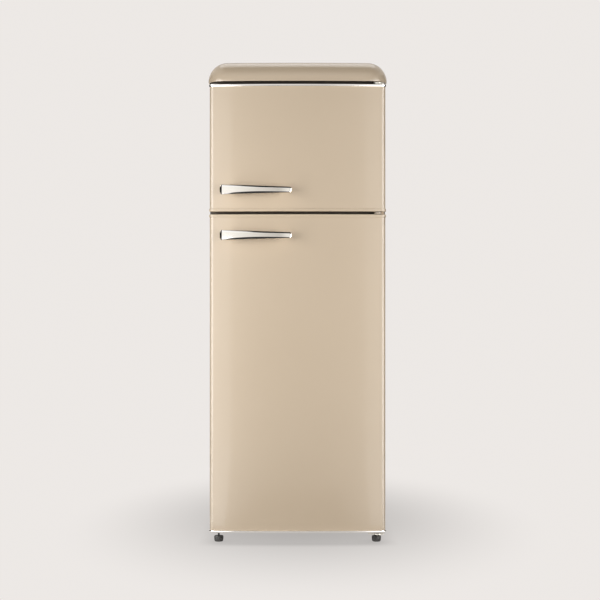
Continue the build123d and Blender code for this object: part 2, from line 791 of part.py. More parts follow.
def leaf(left, back, z, thickness):
    """A flat leaf from the cabinet's front out to a round eye on the hinge line."""
    with BuildPart() as plate:
        with BuildSketch(Plane.XY.offset(z)):
            with BuildLine():
                Polyline(
                    (left, back),
                    (HINGE_RIGHT, back),
                    (HINGE_RIGHT, HINGE_Y),
                    (left, HINGE_Y),
                    close=True,
                )
            make_face()
            with Locations((HINGE_X, HINGE_Y)):
                Circle(EYE_RADIUS)
        extrude(amount=thickness)
        bore(PIN_RADIUS, HINGE_X, HINGE_Y, z, z + thickness)
    return plate.part


with BuildPart() as top_hinge:
    add(leaf(HINGE_X - EYE_RADIUS, Y_DOOR_BACK + LEAF, TOP_LEAF_Z, LEAF))
    with BuildSketch(Plane.YZ.offset(HINGE_X - EYE_RADIUS)):
        with BuildLine():
            Polyline(
                (Y_DOOR_BACK, TOP_LEAF_Z),
                (Y_DOOR_BACK + LEAF, TOP_LEAF_Z),
                (Y_DOOR_BACK + LEAF, CABINET_TOP),
                (Y_FRONT + HINGE_GRIP, CABINET_TOP),
                (Y_FRONT + HINGE_GRIP, CABINET_TOP + LEAF),
                (Y_DOOR_BACK, CABINET_TOP + LEAF),
                close=True,
            )
        make_face()
    extrude(amount=HINGE_RIGHT - HINGE_X + EYE_RADIUS)
keep(top_hinge, "top_hinge")

with BuildPart() as middle_hinge:
    add(leaf(HINGE_LEFT, Y_FRONT, MIDDLE_LEAF_Z, LEAF))
    slab(
        HINGE_LEFT, HINGE_RIGHT,
        Y_FRONT - LEAF, Y_FRONT,
        SPLIT_MIDDLE - FLANGE_HEIGHT / 2, SPLIT_MIDDLE + FLANGE_HEIGHT / 2,
    )
keep(middle_hinge, "middle_hinge")

with BuildPart() as bottom_hinge:
    add(leaf(HINGE_X - HINGE_TAIL, Y_FRONT, BOTTOM_LEAF_Z, BOTTOM_LEAF))
    with BuildSketch(Plane.YZ.offset(HINGE_X - HINGE_TAIL)):
        with BuildLine():
            Polyline(
                (Y_FRONT - BOTTOM_LEAF, BOTTOM_LEAF_Z),
                (Y_FRONT + BOTTOM_LEAF, BOTTOM_LEAF_Z),
                (Y_FRONT + 2 * BOTTOM_LEAF, CABINET_BOTTOM - BOTTOM_LEAF),
                (FOOT_Y + FOOT_RADIUS, CABINET_BOTTOM - BOTTOM_LEAF),
                (FOOT_Y + FOOT_RADIUS, CABINET_BOTTOM),
                (Y_FRONT + BOTTOM_LEAF, CABINET_BOTTOM),
                (Y_FRONT - BOTTOM_LEAF, BOTTOM_LEAF_Z + BOTTOM_LEAF),
                close=True,
            )
        make_face()
    extrude(amount=HINGE_RIGHT - HINGE_X + HINGE_TAIL)
    bore(STUD_RADIUS + RUNNING_FIT, FOOT_X, FOOT_Y, BOTTOM_LEAF_Z, CABINET_BOTTOM)
keep(bottom_hinge, "bottom_hinge")

with BuildPart() as hinge_pins:
    for low, high in (
        (BOTTOM_LEAF_Z, DOOR_BOTTOM + PIN_ENGAGEMENT),
        (FRIDGE_DOOR_TOP - PIN_ENGAGEMENT, FREEZER_DOOR_BOTTOM + PIN_ENGAGEMENT),
        (FREEZER_DOOR_TOP - PIN_ENGAGEMENT, TOP_LEAF_Z + LEAF),
    ):
        bore(PIN_RADIUS, HINGE_X, HINGE_Y, low, high, mode=Mode.ADD)
keep(hinge_pins, "hinge_pins")


# Feet and rollers

def front_foot(side):
    """A turned plastic cup on a steel stud, which screws up into the base."""
    with BuildPart() as foot:
        with BuildSketch(Plane.XZ):
            with BuildLine():
                FilletPolyline(
                    (0, 0),
                    (FOOT_TOE_RADIUS, 0),
                    (FOOT_RADIUS, FOOT_HEIGHT),
                    (0, FOOT_HEIGHT),
                    radius=[FOOT_EDGE, FOOT_EDGE],
                )
                Line((0, FOOT_HEIGHT), (0, 0))
            make_face()
        revolve(axis=Axis.Z)
        bore(STUD_RADIUS, 0, 0, FOOT_HEIGHT, CABINET_BOTTOM + SHEET + STUD_RISE, mode=Mode.ADD)
    with BuildPart() as placed:
        with Locations((side * FOOT_X, FOOT_Y, 0)):
            add(foot.part)
    return placed


keep(front_foot(-1), "left_front_foot")
keep(front_foot(1), "right_front_foot")

with BuildPart() as left_foot_bracket:
    slab(
        -FOOT_X - FOOT_BRACKET_WIDTH / 2, -FOOT_X + FOOT_BRACKET_WIDTH / 2,
        Y_LINER, FOOT_Y + FOOT_BRACKET_WIDTH / 2,
        CABINET_BOTTOM - BOTTOM_LEAF, CABINET_BOTTOM,
    )
    bore(STUD_RADIUS + RUNNING_FIT, -FOOT_X, FOOT_Y, CABINET_BOTTOM - BOTTOM_LEAF, CABINET_BOTTOM)
keep(left_foot_bracket, "left_foot_bracket")

ROLLER_Y = Y_BACK - ROLLER_SETBACK
FORK_HALF = ROLLER_WIDTH / 2 + ROLLER_PLAY
FORK_OUTER = FORK_HALF + PLATE


def rear_roller(side):
    """A plastic roller with a bore for its axle."""
    with BuildPart() as roller:
        with BuildSketch(Plane.YZ.offset(side * ROLLER_X)):
            with Locations((ROLLER_Y, ROLLER_RADIUS)):
                Circle(ROLLER_RADIUS)
                Circle(AXLE_RADIUS + RUNNING_FIT, mode=Mode.SUBTRACT)
        extrude(amount=ROLLER_WIDTH / 2, both=True)
        rims = roller.edges().filter_by(GeomType.CIRCLE).sort_by(SortBy.RADIUS)[-2:]
        fillet(rims, ROLLER_EDGE)
    return roller


keep(rear_roller(-1), "left_rear_roller")
keep(rear_roller(1), "right_rear_roller")

with BuildPart() as roller_forks:
    for side in (-1, 1):
        middle = side * ROLLER_X
        with BuildSketch(Plane.YZ.offset(middle)):
            with BuildLine():
                Polyline(
                    (ROLLER_Y - ROLLER_RADIUS, CABINET_BOTTOM),
                    (ROLLER_Y + ROLLER_RADIUS, CABINET_BOTTOM),
                    (ROLLER_Y + 2 * AXLE_RADIUS, ROLLER_RADIUS - 2 * AXLE_RADIUS),
                    (ROLLER_Y - 2 * AXLE_RADIUS, ROLLER_RADIUS - 2 * AXLE_RADIUS),
                    close=True,
                )
            make_face()
            with Locations((ROLLER_Y, ROLLER_RADIUS)):
                Circle(AXLE_RADIUS, mode=Mode.SUBTRACT)
        extrude(amount=FORK_OUTER, both=True)
        slab(
            middle - FORK_HALF, middle + FORK_HALF,
            ROLLER_Y - 2 * ROLLER_RADIUS, ROLLER_Y + 2 * ROLLER_RADIUS,
            0, CABINET_BOTTOM - PLATE,
            mode=Mode.SUBTRACT,
        )
keep(roller_forks, "roller_forks")

with BuildPart() as roller_axles:
    for side in (-1, 1):
        with BuildSketch(Plane.YZ.offset(side * ROLLER_X)):
            with Locations((ROLLER_Y, ROLLER_RADIUS)):
                Circle(AXLE_RADIUS)
        extrude(amount=FORK_OUTER + PLATE, both=True)
keep(roller_axles, "roller_axles")


# Shelves and drawer

def glass_plate(level):
    """A glass plate with rounded corners, from behind the front trim to near the back wall."""
    with BuildPart() as plate:
        with BuildSketch(Plane.XY.offset(level)):
            with Locations((0, (Y_SHELF + TRIM_LIP + Y_SHELF_BACK) / 2)):
                RectangleRounded(2 * SHELF_HALF, Y_SHELF_BACK - Y_SHELF - TRIM_LIP, GLASS_CORNER)
        extrude(amount=GLASS)
    return plate.part


with BuildPart() as glass_shelves:
    for level in SHELF_LEVELS:
        add(glass_plate(level))
keep(glass_shelves, "glass_shelves")

with BuildPart() as shelf_trims:
    for level in SHELF_LEVELS:
        with BuildSketch(Plane.YZ):
            with BuildLine():
                Polyline(
                    (Y_SHELF, level - TRIM_LIP),
                    (Y_SHELF + TRIM_GRIP, level - TRIM_LIP),
                    (Y_SHELF + TRIM_GRIP, level),
                    (Y_SHELF + TRIM_LIP, level),
                    (Y_SHELF + TRIM_LIP, level + GLASS),
                    (Y_SHELF + TRIM_GRIP, level + GLASS),
                    (Y_SHELF + TRIM_GRIP, level + GLASS + TRIM_LIP),
                    (Y_SHELF, level + GLASS + TRIM_LIP),
                    close=True,
                )
            make_face()
        extrude(amount=SHELF_HALF, both=True)
keep(shelf_trims, "shelf_trims")

with BuildPart() as freezer_shelf:
    shelf_half = SHELF_HALF - RAIL_RADIUS
    rail_z = FREEZER_SHELF_Z + RAIL_RADIUS
    front_rail = FREEZER_SHELF_FRONT + RAIL_RADIUS
    back_rail = Y_EVAPORATOR - SHELF_BACK_CLEARANCE
    with BuildSketch(Plane.YZ):
        with Locations((front_rail, rail_z), (back_rail, rail_z)):
            Circle(RAIL_RADIUS)
    extrude(amount=shelf_half, both=True)
    with BuildSketch(upright(front_rail)):
        for step in range(WIRE_COUNT):
            wire_x = (2 * step / (WIRE_COUNT - 1) - 1) * (shelf_half - 2 * WIRE_RADIUS)
            with Locations((wire_x, rail_z + RAIL_RADIUS)):
                Circle(WIRE_RADIUS)
    extrude(amount=front_rail - back_rail)
keep(freezer_shelf, "freezer_shelf")

DRAWER_HALF = INSIDE - DRAWER_SIDE_CLEARANCE
DRAWER_BOTTOM = FRIDGE_FLOOR + DRAWER_GAP
DRAWER_TOP = COVER_Z - DRAWER_HEADROOM
DRAWER_BACK = Y_STEP - DRAWER_SIDE_CLEARANCE


def drawer_block(wall):
    """The drawer's outer block, or its inside, rounded along its lower and rear edges."""
    with BuildPart() as block:
        slab(
            -DRAWER_HALF + wall, DRAWER_HALF - wall,
            Y_SHELF + wall, DRAWER_BACK - wall,
            DRAWER_BOTTOM + wall, DRAWER_TOP,
        )
        lower = block.faces().sort_by(Axis.Z)[0].edges().sort_by(Axis.Y)[1:]
        upright_edges = block.edges().filter_by(Axis.Z).group_by(Axis.Y)[-1]
        fillet(lower + upright_edges, DRAWER_CORNER - wall)
    return block.part


with BuildPart() as crisper_drawer:
    add(drawer_block(0))
    add(drawer_block(DRAWER_WALL), mode=Mode.SUBTRACT)
    slab(
        -DRAWER_HALF, DRAWER_HALF,
        Y_SHELF - DRAWER_LIP, Y_SHELF,
        DRAWER_TOP - 2 * DRAWER_WALL, DRAWER_TOP,
    )
    slab(
        -DRAWER_HALF, DRAWER_HALF,
        Y_SHELF - DRAWER_LIP, Y_SHELF - DRAWER_LIP + DRAWER_WALL,
        DRAWER_TOP - DRAWER_LIP, DRAWER_TOP,
    )
keep(crisper_drawer, "crisper_drawer")


# Control housing with its knob and lamp

HOUSING_FRONT = Y_FRONT + HOUSING_SETBACK
HOUSING_BOTTOM = FRIDGE_CEILING - HOUSING_HEIGHT
KNOB_Z = HOUSING_BOTTOM + HOUSING_HEIGHT / 2
KNOB_FRONT = HOUSING_FRONT - KNOB_GAP - KNOB_LENGTH
with BuildPart() as control_housing:
    slab(
        -HOUSING_WIDTH / 2, HOUSING_WIDTH / 2,
        HOUSING_FRONT, HOUSING_FRONT + HOUSING_DEPTH,
        HOUSING_BOTTOM, FRIDGE_CEILING,
    )
    fillet(control_housing.edges().group_by(Axis.Z)[0], HOUSING_EDGE)
    with BuildSketch(upright(HOUSING_FRONT)):
        with Locations((-KNOB_OFFSET, KNOB_Z)):
            Circle(SHAFT_RADIUS + RUNNING_FIT)
    extrude(amount=-SHAFT_LENGTH - KNOB_GAP, mode=Mode.SUBTRACT)
keep(control_housing, "control_housing")

with BuildPart() as thermostat_knob:
    with BuildSketch(upright(KNOB_FRONT)):
        with Locations((-KNOB_OFFSET, KNOB_Z)):
            Circle(KNOB_RADIUS)
    extrude(amount=-KNOB_LENGTH, taper=KNOB_TAPER)
    fillet(thermostat_knob.faces().sort_by(Axis.Y)[0].edges(), KNOB_EDGE)
    with BuildSketch(upright(KNOB_FRONT + KNOB_LENGTH)):
        with Locations((-KNOB_OFFSET, KNOB_Z)):
            Circle(SHAFT_RADIUS)
    extrude(amount=-SHAFT_LENGTH)
    slab(
        -KNOB_OFFSET - SHAFT_RADIUS, -KNOB_OFFSET + SHAFT_RADIUS,
        KNOB_FRONT - SHAFT_RADIUS, KNOB_FRONT + SHAFT_RADIUS,
        KNOB_Z - KNOB_GRIP / 2, KNOB_Z + KNOB_GRIP / 2,
    )
keep(thermostat_knob, "thermostat_knob")

with BuildPart() as lamp_cover:
    with BuildSketch(Plane.XY.offset(HOUSING_BOTTOM)):
        with Locations((LAMP_OFFSET, HOUSING_FRONT + HOUSING_DEPTH / 2)):
            RectangleRounded(LAMP_WIDTH, LAMP_DEPTH, LAMP_THICKNESS)
    extrude(amount=-LAMP_THICKNESS)
    fillet(lamp_cover.faces().sort_by(Axis.Z)[0].edges(), LAMP_THICKNESS / 2)
keep(lamp_cover, "lamp_cover")


# Evaporator on the freezer's back wall

EVAPORATOR_HALF = INSIDE - EVAPORATOR_INSET
EVAPORATOR_Z = (FREEZER_FLOOR + FREEZER_CEILING) / 2


def serpentine(half, low, pitch, passes, y):
    """Points of a zigzag of level runs, climbing one pitch at each end."""
    points = []
    for run in range(passes):
        ends = (half, -half) if run % 2 == 0 else (-half, half)
        points += [(x, y, low + run * pitch) for x in ends]
    return points


EVAPORATOR_PITCH = EVAPORATOR_HEIGHT / EVAPORATOR_PASSES
evaporator_run = serpentine(
    EVAPORATOR_HALF - EVAPORATOR_PITCH / 2,
    EVAPORATOR_Z - EVAPORATOR_HEIGHT / 2 + EVAPORATOR_PITCH / 2,
    EVAPORATOR_PITCH,
    EVAPORATOR_PASSES,
    Y_EVAPORATOR + EVAPORATOR_PLATE,
)
evaporator_tube = pipe(evaporator_run, EVAPORATOR_TUBE, BEND_SHARE * EVAPORATOR_PITCH)
with BuildPart() as freezer_evaporator:
    slab(
        -EVAPORATOR_HALF, EVAPORATOR_HALF,
        Y_EVAPORATOR, Y_EVAPORATOR + EVAPORATOR_PLATE,
        EVAPORATOR_Z - EVAPORATOR_HEIGHT / 2, EVAPORATOR_Z + EVAPORATOR_HEIGHT / 2,
    )
    add(evaporator_tube)
    for side in (-1, 1):
        for end in (-1, 1):
            post_x = side * (EVAPORATOR_HALF - 2 * EVAPORATOR_TUBE)
            post_z = EVAPORATOR_Z + end * (EVAPORATOR_HEIGHT / 2 - 2 * EVAPORATOR_TUBE)
            slab(
                post_x - EVAPORATOR_TUBE, post_x + EVAPORATOR_TUBE,
                Y_EVAPORATOR, Y_LINER_BACK,
                post_z - EVAPORATOR_TUBE, post_z + EVAPORATOR_TUBE,
            )
keep(freezer_evaporator, "freezer_evaporator")


# Condenser on the back: one tube in level runs, wires along both its sides, and wall spacers on its bends

CONDENSER_HALF = HALF - CONDENSER_INSET
CONDENSER_LOW = NICHE_TOP + CONDENSER_LIFT
CONDENSER_HIGH = CONDENSER_LOW + CONDENSER_PITCH * (CONDENSER_PASSES - 1)
RETURN_X = CONDENSER_HALF + CONDENSER_RETURN
DRIER_TOP = NICHE_TOP - DRIER_DROP
DRIER_BOTTOM = DRIER_TOP - DRIER_LENGTH
condenser_run = serpentine(CONDENSER_HALF, CONDENSER_LOW, CONDENSER_PITCH, CONDENSER_PASSES, Y_TUBE)
condenser_run[-1] = (RETURN_X, Y_TUBE, CONDENSER_HIGH)
condenser_run.append((RETURN_X, Y_TUBE, DRIER_TOP))
condenser_pipe = pipe(condenser_run, CONDENSER_TUBE, BEND_SHARE * CONDENSER_PITCH)
with BuildPart() as condenser_tube:
    add(condenser_pipe)
keep(condenser_tube, "condenser_tube")

GRID_STEP = (2 * CONDENSER_HALF - CONDENSER_PITCH) / (GRID_COUNT - 1)
with BuildPart() as condenser_wires:
    with BuildSketch(Plane.XY.offset(CONDENSER_LOW - GRID_OVERHANG)):
        for face in (-1, 1):
            with Locations((0, Y_TUBE + face * (CONDENSER_TUBE + GRID_WIRE))):
                with GridLocations(GRID_STEP, GRID_STEP, GRID_COUNT, 1):
                    Circle(GRID_WIRE)
    extrude(amount=CONDENSER_HIGH - CONDENSER_LOW + 2 * GRID_OVERHANG)
keep(condenser_wires, "condenser_wires")

SPACER_BENDS = ((-1, 2), (-1, CONDENSER_PASSES - 4), (1, 1), (1, CONDENSER_PASSES - 3))
with BuildPart() as wall_spacers:
    for side, run in SPACER_BENDS:
        bend_x = side * CONDENSER_HALF
        bend_z = CONDENSER_LOW + (run + 0.5) * CONDENSER_PITCH
        slab(
            bend_x - SPACER_WIDTH / 2, bend_x + SPACER_WIDTH / 2,
            Y_BACK - SHEET, Y_WALL,
            bend_z - SPACER_HEIGHT / 2, bend_z + SPACER_HEIGHT / 2,
        )
    fillet(wall_spacers.faces().filter_by(Axis.Y).group_by(Axis.Y)[-1].edges(), SPACER_EDGE)
    add(condenser_pipe, mode=Mode.SUBTRACT)
keep(wall_spacers, "wall_spacers")


# Compressor in its niche, with its drier, pipes and drip tray

COMPRESSOR_Y = Y_NICHE + NICHE_DEPTH / 2
MOUNT_Z = CABINET_BOTTOM + PLATE + GROMMET_HEIGHT
SHELL_Z = MOUNT_Z + MOUNT_PLATE
SHELL_TOP = SHELL_Z + COMPRESSOR_HEIGHT
with BuildPart() as compressor:
    with BuildSketch(Plane.XY.offset(SHELL_Z)):
        with Locations((COMPRESSOR_OFFSET, COMPRESSOR_Y)):
            SlotOverall(COMPRESSOR_LENGTH, COMPRESSOR_WIDTH)
    extrude(amount=COMPRESSOR_HEIGHT)
    domes = compressor.edges().group_by(Axis.Z)
    fillet(domes[0] + domes[-1], COMPRESSOR_DOME)
    with BuildSketch(Plane.XY.offset(SHELL_Z + (COMPRESSOR_HEIGHT - SEAM_HEIGHT) / 2)):
        with Locations((COMPRESSOR_OFFSET, COMPRESSOR_Y)):
            SlotOverall(COMPRESSOR_LENGTH + 2 * SEAM_LIP, COMPRESSOR_WIDTH + 2 * SEAM_LIP)
    extrude(amount=SEAM_HEIGHT)
    with BuildSketch(Plane.XY.offset(MOUNT_Z)):
        with Locations((COMPRESSOR_OFFSET, COMPRESSOR_Y)):
            RectangleRounded(MOUNT_LENGTH, MOUNT_WIDTH, GROMMET_INSET)
    extrude(amount=MOUNT_PLATE)
keep(compressor, "compressor")

with BuildPart() as compressor_grommets:
    with BuildSketch(Plane.XY.offset(CABINET_BOTTOM + PLATE)):
        with Locations((COMPRESSOR_OFFSET, COMPRESSOR_Y)):
            with GridLocations(MOUNT_LENGTH - 2 * GROMMET_INSET, MOUNT_WIDTH - 2 * GROMMET_INSET, 2, 2):
                Circle(GROMMET_RADIUS)
    extrude(amount=GROMMET_HEIGHT)
keep(compressor_grommets, "compressor_grommets")

SHELL_LEFT = COMPRESSOR_OFFSET - COMPRESSOR_LENGTH / 2
with BuildPart() as terminal_box:
    slab(
        SHELL_LEFT - TERMINAL_LENGTH, COMPRESSOR_OFFSET,
        COMPRESSOR_Y - TERMINAL_WIDTH / 2, COMPRESSOR_Y + TERMINAL_WIDTH / 2,
        SHELL_Z + COMPRESSOR_DOME, SHELL_Z + COMPRESSOR_DOME + TERMINAL_HEIGHT,
    )
    fillet(terminal_box.edges().filter_by(Axis.Z).group_by(Axis.X)[0], TERMINAL_EDGE)
    add(compressor.part, mode=Mode.SUBTRACT)
keep(terminal_box, "terminal_box")

with BuildPart() as drip_tray:
    for wall, mode in ((0, Mode.ADD), (TRAY_WALL, Mode.SUBTRACT)):
        with BuildSketch(Plane.XY.offset(SHELL_TOP + wall)):
            with Locations((COMPRESSOR_OFFSET, COMPRESSOR_Y)):
                RectangleRounded(TRAY_LENGTH - 2 * wall, TRAY_WIDTH - 2 * wall, TRAY_EDGE - wall)
        extrude(amount=TRAY_HEIGHT, mode=mode)
keep(drip_tray, "drip_tray")

with BuildPart() as filter_drier:
    with BuildSketch(Plane.XZ):
        with BuildLine():
            Polyline(
                (0, DRIER_BOTTOM),
                (PIPE_RADIUS, DRIER_BOTTOM),
                (DRIER_RADIUS, DRIER_BOTTOM + DRIER_NECK),
                (DRIER_RADIUS, DRIER_TOP - DRIER_NECK),
                (PIPE_RADIUS, DRIER_TOP),
                (0, DRIER_TOP),
                close=True,
            )
        make_face()
    revolve(axis=Axis.Z)
filter_drier.part.locate(Location((RETURN_X, Y_TUBE, 0)))
keep(filter_drier, "filter_drier")

SUCTION_Y = COMPRESSOR_Y - COMPRESSOR_WIDTH / 2 + PIPE_BEND
RISER_X = CONDENSER_HALF + PIPE_BEND + PIPE_RADIUS / 2
SHELL_MIDDLE = SHELL_Z + COMPRESSOR_HEIGHT / 2
discharge_pipe = pipe(
    [
        (COMPRESSOR_OFFSET, COMPRESSOR_Y, SHELL_MIDDLE - 2 * PIPE_BEND),
        (RISER_X, COMPRESSOR_Y, SHELL_MIDDLE - 2 * PIPE_BEND),
        (RISER_X, Y_TUBE, SHELL_MIDDLE - 2 * PIPE_BEND),
        (RISER_X, Y_TUBE, CONDENSER_LOW),
        (CONDENSER_HALF, Y_TUBE, CONDENSER_LOW),
    ],
    PIPE_RADIUS,
    PIPE_BEND,
)
suction_pipe = pipe(
    [
        (RISER_X, SUCTION_Y, NICHE_TOP),
        (RISER_X, SUCTION_Y, SHELL_MIDDLE + 2 * PIPE_BEND),
        (COMPRESSOR_OFFSET, SUCTION_Y, SHELL_MIDDLE + 2 * PIPE_BEND),
    ],
    PIPE_RADIUS,
    PIPE_BEND,
)
capillary = pipe(
    [
        (RETURN_X, Y_TUBE, DRIER_BOTTOM),
        (RETURN_X, Y_TUBE, DRIER_BOTTOM - 2 * PIPE_BEND),
        (RETURN_X, SUCTION_Y, DRIER_BOTTOM - 2 * PIPE_BEND),
        (RETURN_X, SUCTION_Y, NICHE_TOP),
    ],
    PIPE_RADIUS / 2,
    PIPE_BEND,
)
with BuildPart() as refrigerant_pipes:
    for tube in (discharge_pipe, suction_pipe, capillary):
        add(tube)
    add(compressor.part, mode=Mode.SUBTRACT)
keep(refrigerant_pipes, "refrigerant_pipes")

with BuildPart() as cord_gland:
    with BuildSketch(upright(Y_BACK - SHEET)):
        with Locations((-HALF + GLAND_INSET, NICHE_TOP + GLAND_LIFT)):
            Circle(GLAND_RADIUS)
            Circle(GLAND_BORE, mode=Mode.SUBTRACT)
    extrude(amount=-GLAND_LENGTH)
    fillet(cord_gland.faces().sort_by(Axis.Y)[-1].outer_wire().edges(), GLAND_RADIUS / 5)
keep(cord_gland, "cord_gland")
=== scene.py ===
# %% [markdown]
# # A cream retro fridge, dressed for the studio
# The imported solids already stand in the right place, and every piece made here sits where its solid
# sits. We start by loading them.

# %% The imported solids
import itertools
import json
import math

import bmesh
import bpy
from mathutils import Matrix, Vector

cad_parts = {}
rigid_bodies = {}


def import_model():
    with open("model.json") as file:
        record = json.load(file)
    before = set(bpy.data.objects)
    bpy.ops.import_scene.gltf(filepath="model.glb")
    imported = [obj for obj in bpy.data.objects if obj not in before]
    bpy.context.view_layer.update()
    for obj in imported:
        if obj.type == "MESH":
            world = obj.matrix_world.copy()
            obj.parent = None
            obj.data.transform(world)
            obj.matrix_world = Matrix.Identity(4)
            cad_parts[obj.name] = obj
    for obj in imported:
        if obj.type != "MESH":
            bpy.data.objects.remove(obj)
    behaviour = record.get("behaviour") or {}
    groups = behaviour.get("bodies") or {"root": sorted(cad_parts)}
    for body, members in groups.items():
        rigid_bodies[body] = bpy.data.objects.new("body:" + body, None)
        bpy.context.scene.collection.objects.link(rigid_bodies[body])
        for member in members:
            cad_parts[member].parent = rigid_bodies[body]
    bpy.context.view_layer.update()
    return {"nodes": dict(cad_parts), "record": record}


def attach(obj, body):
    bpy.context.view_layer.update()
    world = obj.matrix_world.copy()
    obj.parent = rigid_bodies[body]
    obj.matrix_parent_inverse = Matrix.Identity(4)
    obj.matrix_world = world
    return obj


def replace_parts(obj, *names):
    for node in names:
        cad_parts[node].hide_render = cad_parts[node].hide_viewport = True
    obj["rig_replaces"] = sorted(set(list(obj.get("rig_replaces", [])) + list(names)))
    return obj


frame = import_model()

solids = frame["nodes"]

# %% [markdown]
# ## A bench for node trees
# Shaders and Geometry Nodes are both trees of nodes. They could be wired by hand, one link at a time,
# but a finish reads better as a sum. `Wire` stands for an output socket and turns plain Python sums into
# Math nodes. `Bench.node` adds any other node, with the values or links of its sockets and, by name, its
# settings.

# %% Wires and the bench
class Wire:
    """An output socket that can stand in a sum; each sum adds a Math node to the bench's tree."""

    def __init__(self, bench, socket):
        self.bench = bench
        self.socket = socket

    def sum_of(self, operation, first, second):
        return self.bench.node("ShaderNodeMath", {0: first, 1: second}, operation=operation)

    def __add__(self, other):
        return self.sum_of("ADD", self, other)

    def __rsub__(self, other):
        return self.sum_of("SUBTRACT", other, self)

    def __mul__(self, other):
        return self.sum_of("MULTIPLY", self, other)

    def __pow__(self, power):
        return self.sum_of("POWER", self, power)

    __radd__ = __add__
    __rmul__ = __mul__


class Bench:
    """A node tree under construction."""

    def __init__(self, tree):
        self.tree = tree
        tree.nodes.clear()

    def node(self, kind, sockets=None, out=0, **settings):
        made = self.tree.nodes.new(kind)
        for key, value in settings.items():
            setattr(made, key, value)
        for key, value in (sockets or {}).items():
            if isinstance(value, Wire):
                self.tree.links.new(value.socket, made.inputs[key])
            else:
                made.inputs[key].default_value = value
        return Wire(self, made.outputs[out]) if made.outputs else made

    def place(self):
        """The piece's own coordinates."""
        return self.node("ShaderNodeTexCoord", out="Object")

    def noise(self, scale, detail=2.0, stretch=(1.0, 1.0, 1.0)):
        """Smooth noise on the piece's own coordinates, finer along an axis where it is stretched."""
        place = self.node("ShaderNodeMapping", {"Vector": self.place(), "Scale": stretch})
        return self.node("ShaderNodeTexNoise", {"Vector": place, "Scale": scale, "Detail": detail})

    def rays(self, *kinds):
        """One for light rays of these kinds, zero for all others."""
        first, *others = [self.node("ShaderNodeLightPath", out=f"Is {kind} Ray") for kind in kinds]
        return sum(others, first)

    def ramp(self, value, *stops):
        """Colours between stops, each a position and a colour."""
        ramp = self.node("ShaderNodeValToRGB", {0: value})
        elements = ramp.socket.node.color_ramp.elements
        while len(elements) < len(stops):
            elements.new(1.0)
        for element, (position, colour) in zip(elements, stops):
            element.position = position
            element.color = (*colour, 1.0)
        return ramp

    def colours(self, factor, first, second):
        """A mix of two colours by a factor."""
        return self.node("ShaderNodeMix", {0: factor, 6: first, 7: second}, out=2, data_type="RGBA")

    def bump(self, height, strength, distance):
        sizes = {"Height": height, "Strength": strength, "Distance": distance}
        return self.node("ShaderNodeBump", sizes, out="Normal")


class Finish(Bench):
    """A material under construction."""

    def __init__(self, name):
        self.material = bpy.data.materials.new(name)
        self.material.use_nodes = True
        super().__init__(self.material.node_tree)

    def show(self, shader):
        self.node("ShaderNodeOutputMaterial", {"Surface": shader})
        return self.material

    def glow(self, colour, level):
        return self.node("ShaderNodeEmission", {"Color": colour, "Strength": level})

    def surface(self, **sockets):
        """The material with a Principled shader, whose sockets are given by name."""
        named = {key.replace("_", " ").title().replace("Ior", "IOR"): value for key, value in sockets.items()}
        return self.show(self.node("ShaderNodeBsdfPrincipled", named))


print("bench ready")

# %% [markdown]
# ## Camera
# The photo is a straight front view from about five metres with a long lens: the sides of the fridge
# don't show at all and the cap's top doesn't either. A camera at mid height, looking level along +Y,
# gives the same picture.

# %% Camera
CAMERA_AT = (0.0074, -5.2675, 0.7485)
LENS = 98.3


def put(name, data):
    """A new object in the scene, at the origin."""
    thing = bpy.data.objects.new(name, data)
    bpy.context.scene.collection.objects.link(thing)
    return thing


view = bpy.data.cameras.new("studio_camera")
view.lens = LENS
view.sensor_width = 36.0
camera = put("studio_camera", view)
camera.location = CAMERA_AT
camera.rotation_euler = (math.radians(90), 0, 0)
bpy.context.scene.camera = camera
bpy.context.scene.view_settings.view_transform = "Standard"
print("camera", CAMERA_AT, "lens", LENS)

# %% [markdown]
# ## Light, backdrop and floor
# Two large soft lamps stand in front, the left one stronger, with a narrow strip beside each door edge, one
# lamp above the cap and two weak ones behind. The pale backdrop is the world itself, shown only to rays from
# the camera and to mirror and glass rays, so it adds no light. The floor is a sheet of the same pale tone,
# with a painted soft oval shade under the fridge and a darker painted shade where the feet touch it.

# %% Lamps
def soft_lamp(name, place, aim, width, height, watts):
    lamp = bpy.data.lights.new(name, "AREA")
    lamp.shape = "RECTANGLE"
    lamp.size = width
    lamp.size_y = height
    lamp.energy = watts
    stand = put(name, lamp)
    stand.location = place
    stand.rotation_euler = (Vector(aim) - Vector(place)).to_track_quat("-Z", "Y").to_euler()


# Each lamp: place, aim, width, height, watts.
LAMPS = {
    "left_softbox": ((-2.3, -2.8, 0.95), (0, -0.25, 0.8), 2.2, 1.8, 47),
    "right_softbox": ((2.4, -2.7, 0.95), (0, -0.25, 0.8), 1.6, 1.8, 35),
    "left_strip": ((-1.15, -0.95, 0.78), (0, -0.25, 0.78), 0.3, 1.5, 8.0),
    "right_strip": ((1.15, -1.0, 0.78), (0, -0.25, 0.78), 0.25, 1.5, 5.0),
    "top_softbox": ((0, 0.35, 2.6), (0, 0.3, 1.5), 1.6, 0.9, 9.0),
    "back_left": ((-1.7, 2.5, 0.8), (0, 0.25, 0.75), 1.2, 1.25, 20),
    "back_right": ((1.7, 2.5, 0.8), (0, 0.25, 0.75), 1.2, 1.25, 17),
}
for name, settings in LAMPS.items():
    soft_lamp(name, *settings)
print("lamps", list(LAMPS))

# %% World
BACKDROP = (0.845, 0.812, 0.787, 1.0)
ROOM_LEVEL = 0.16

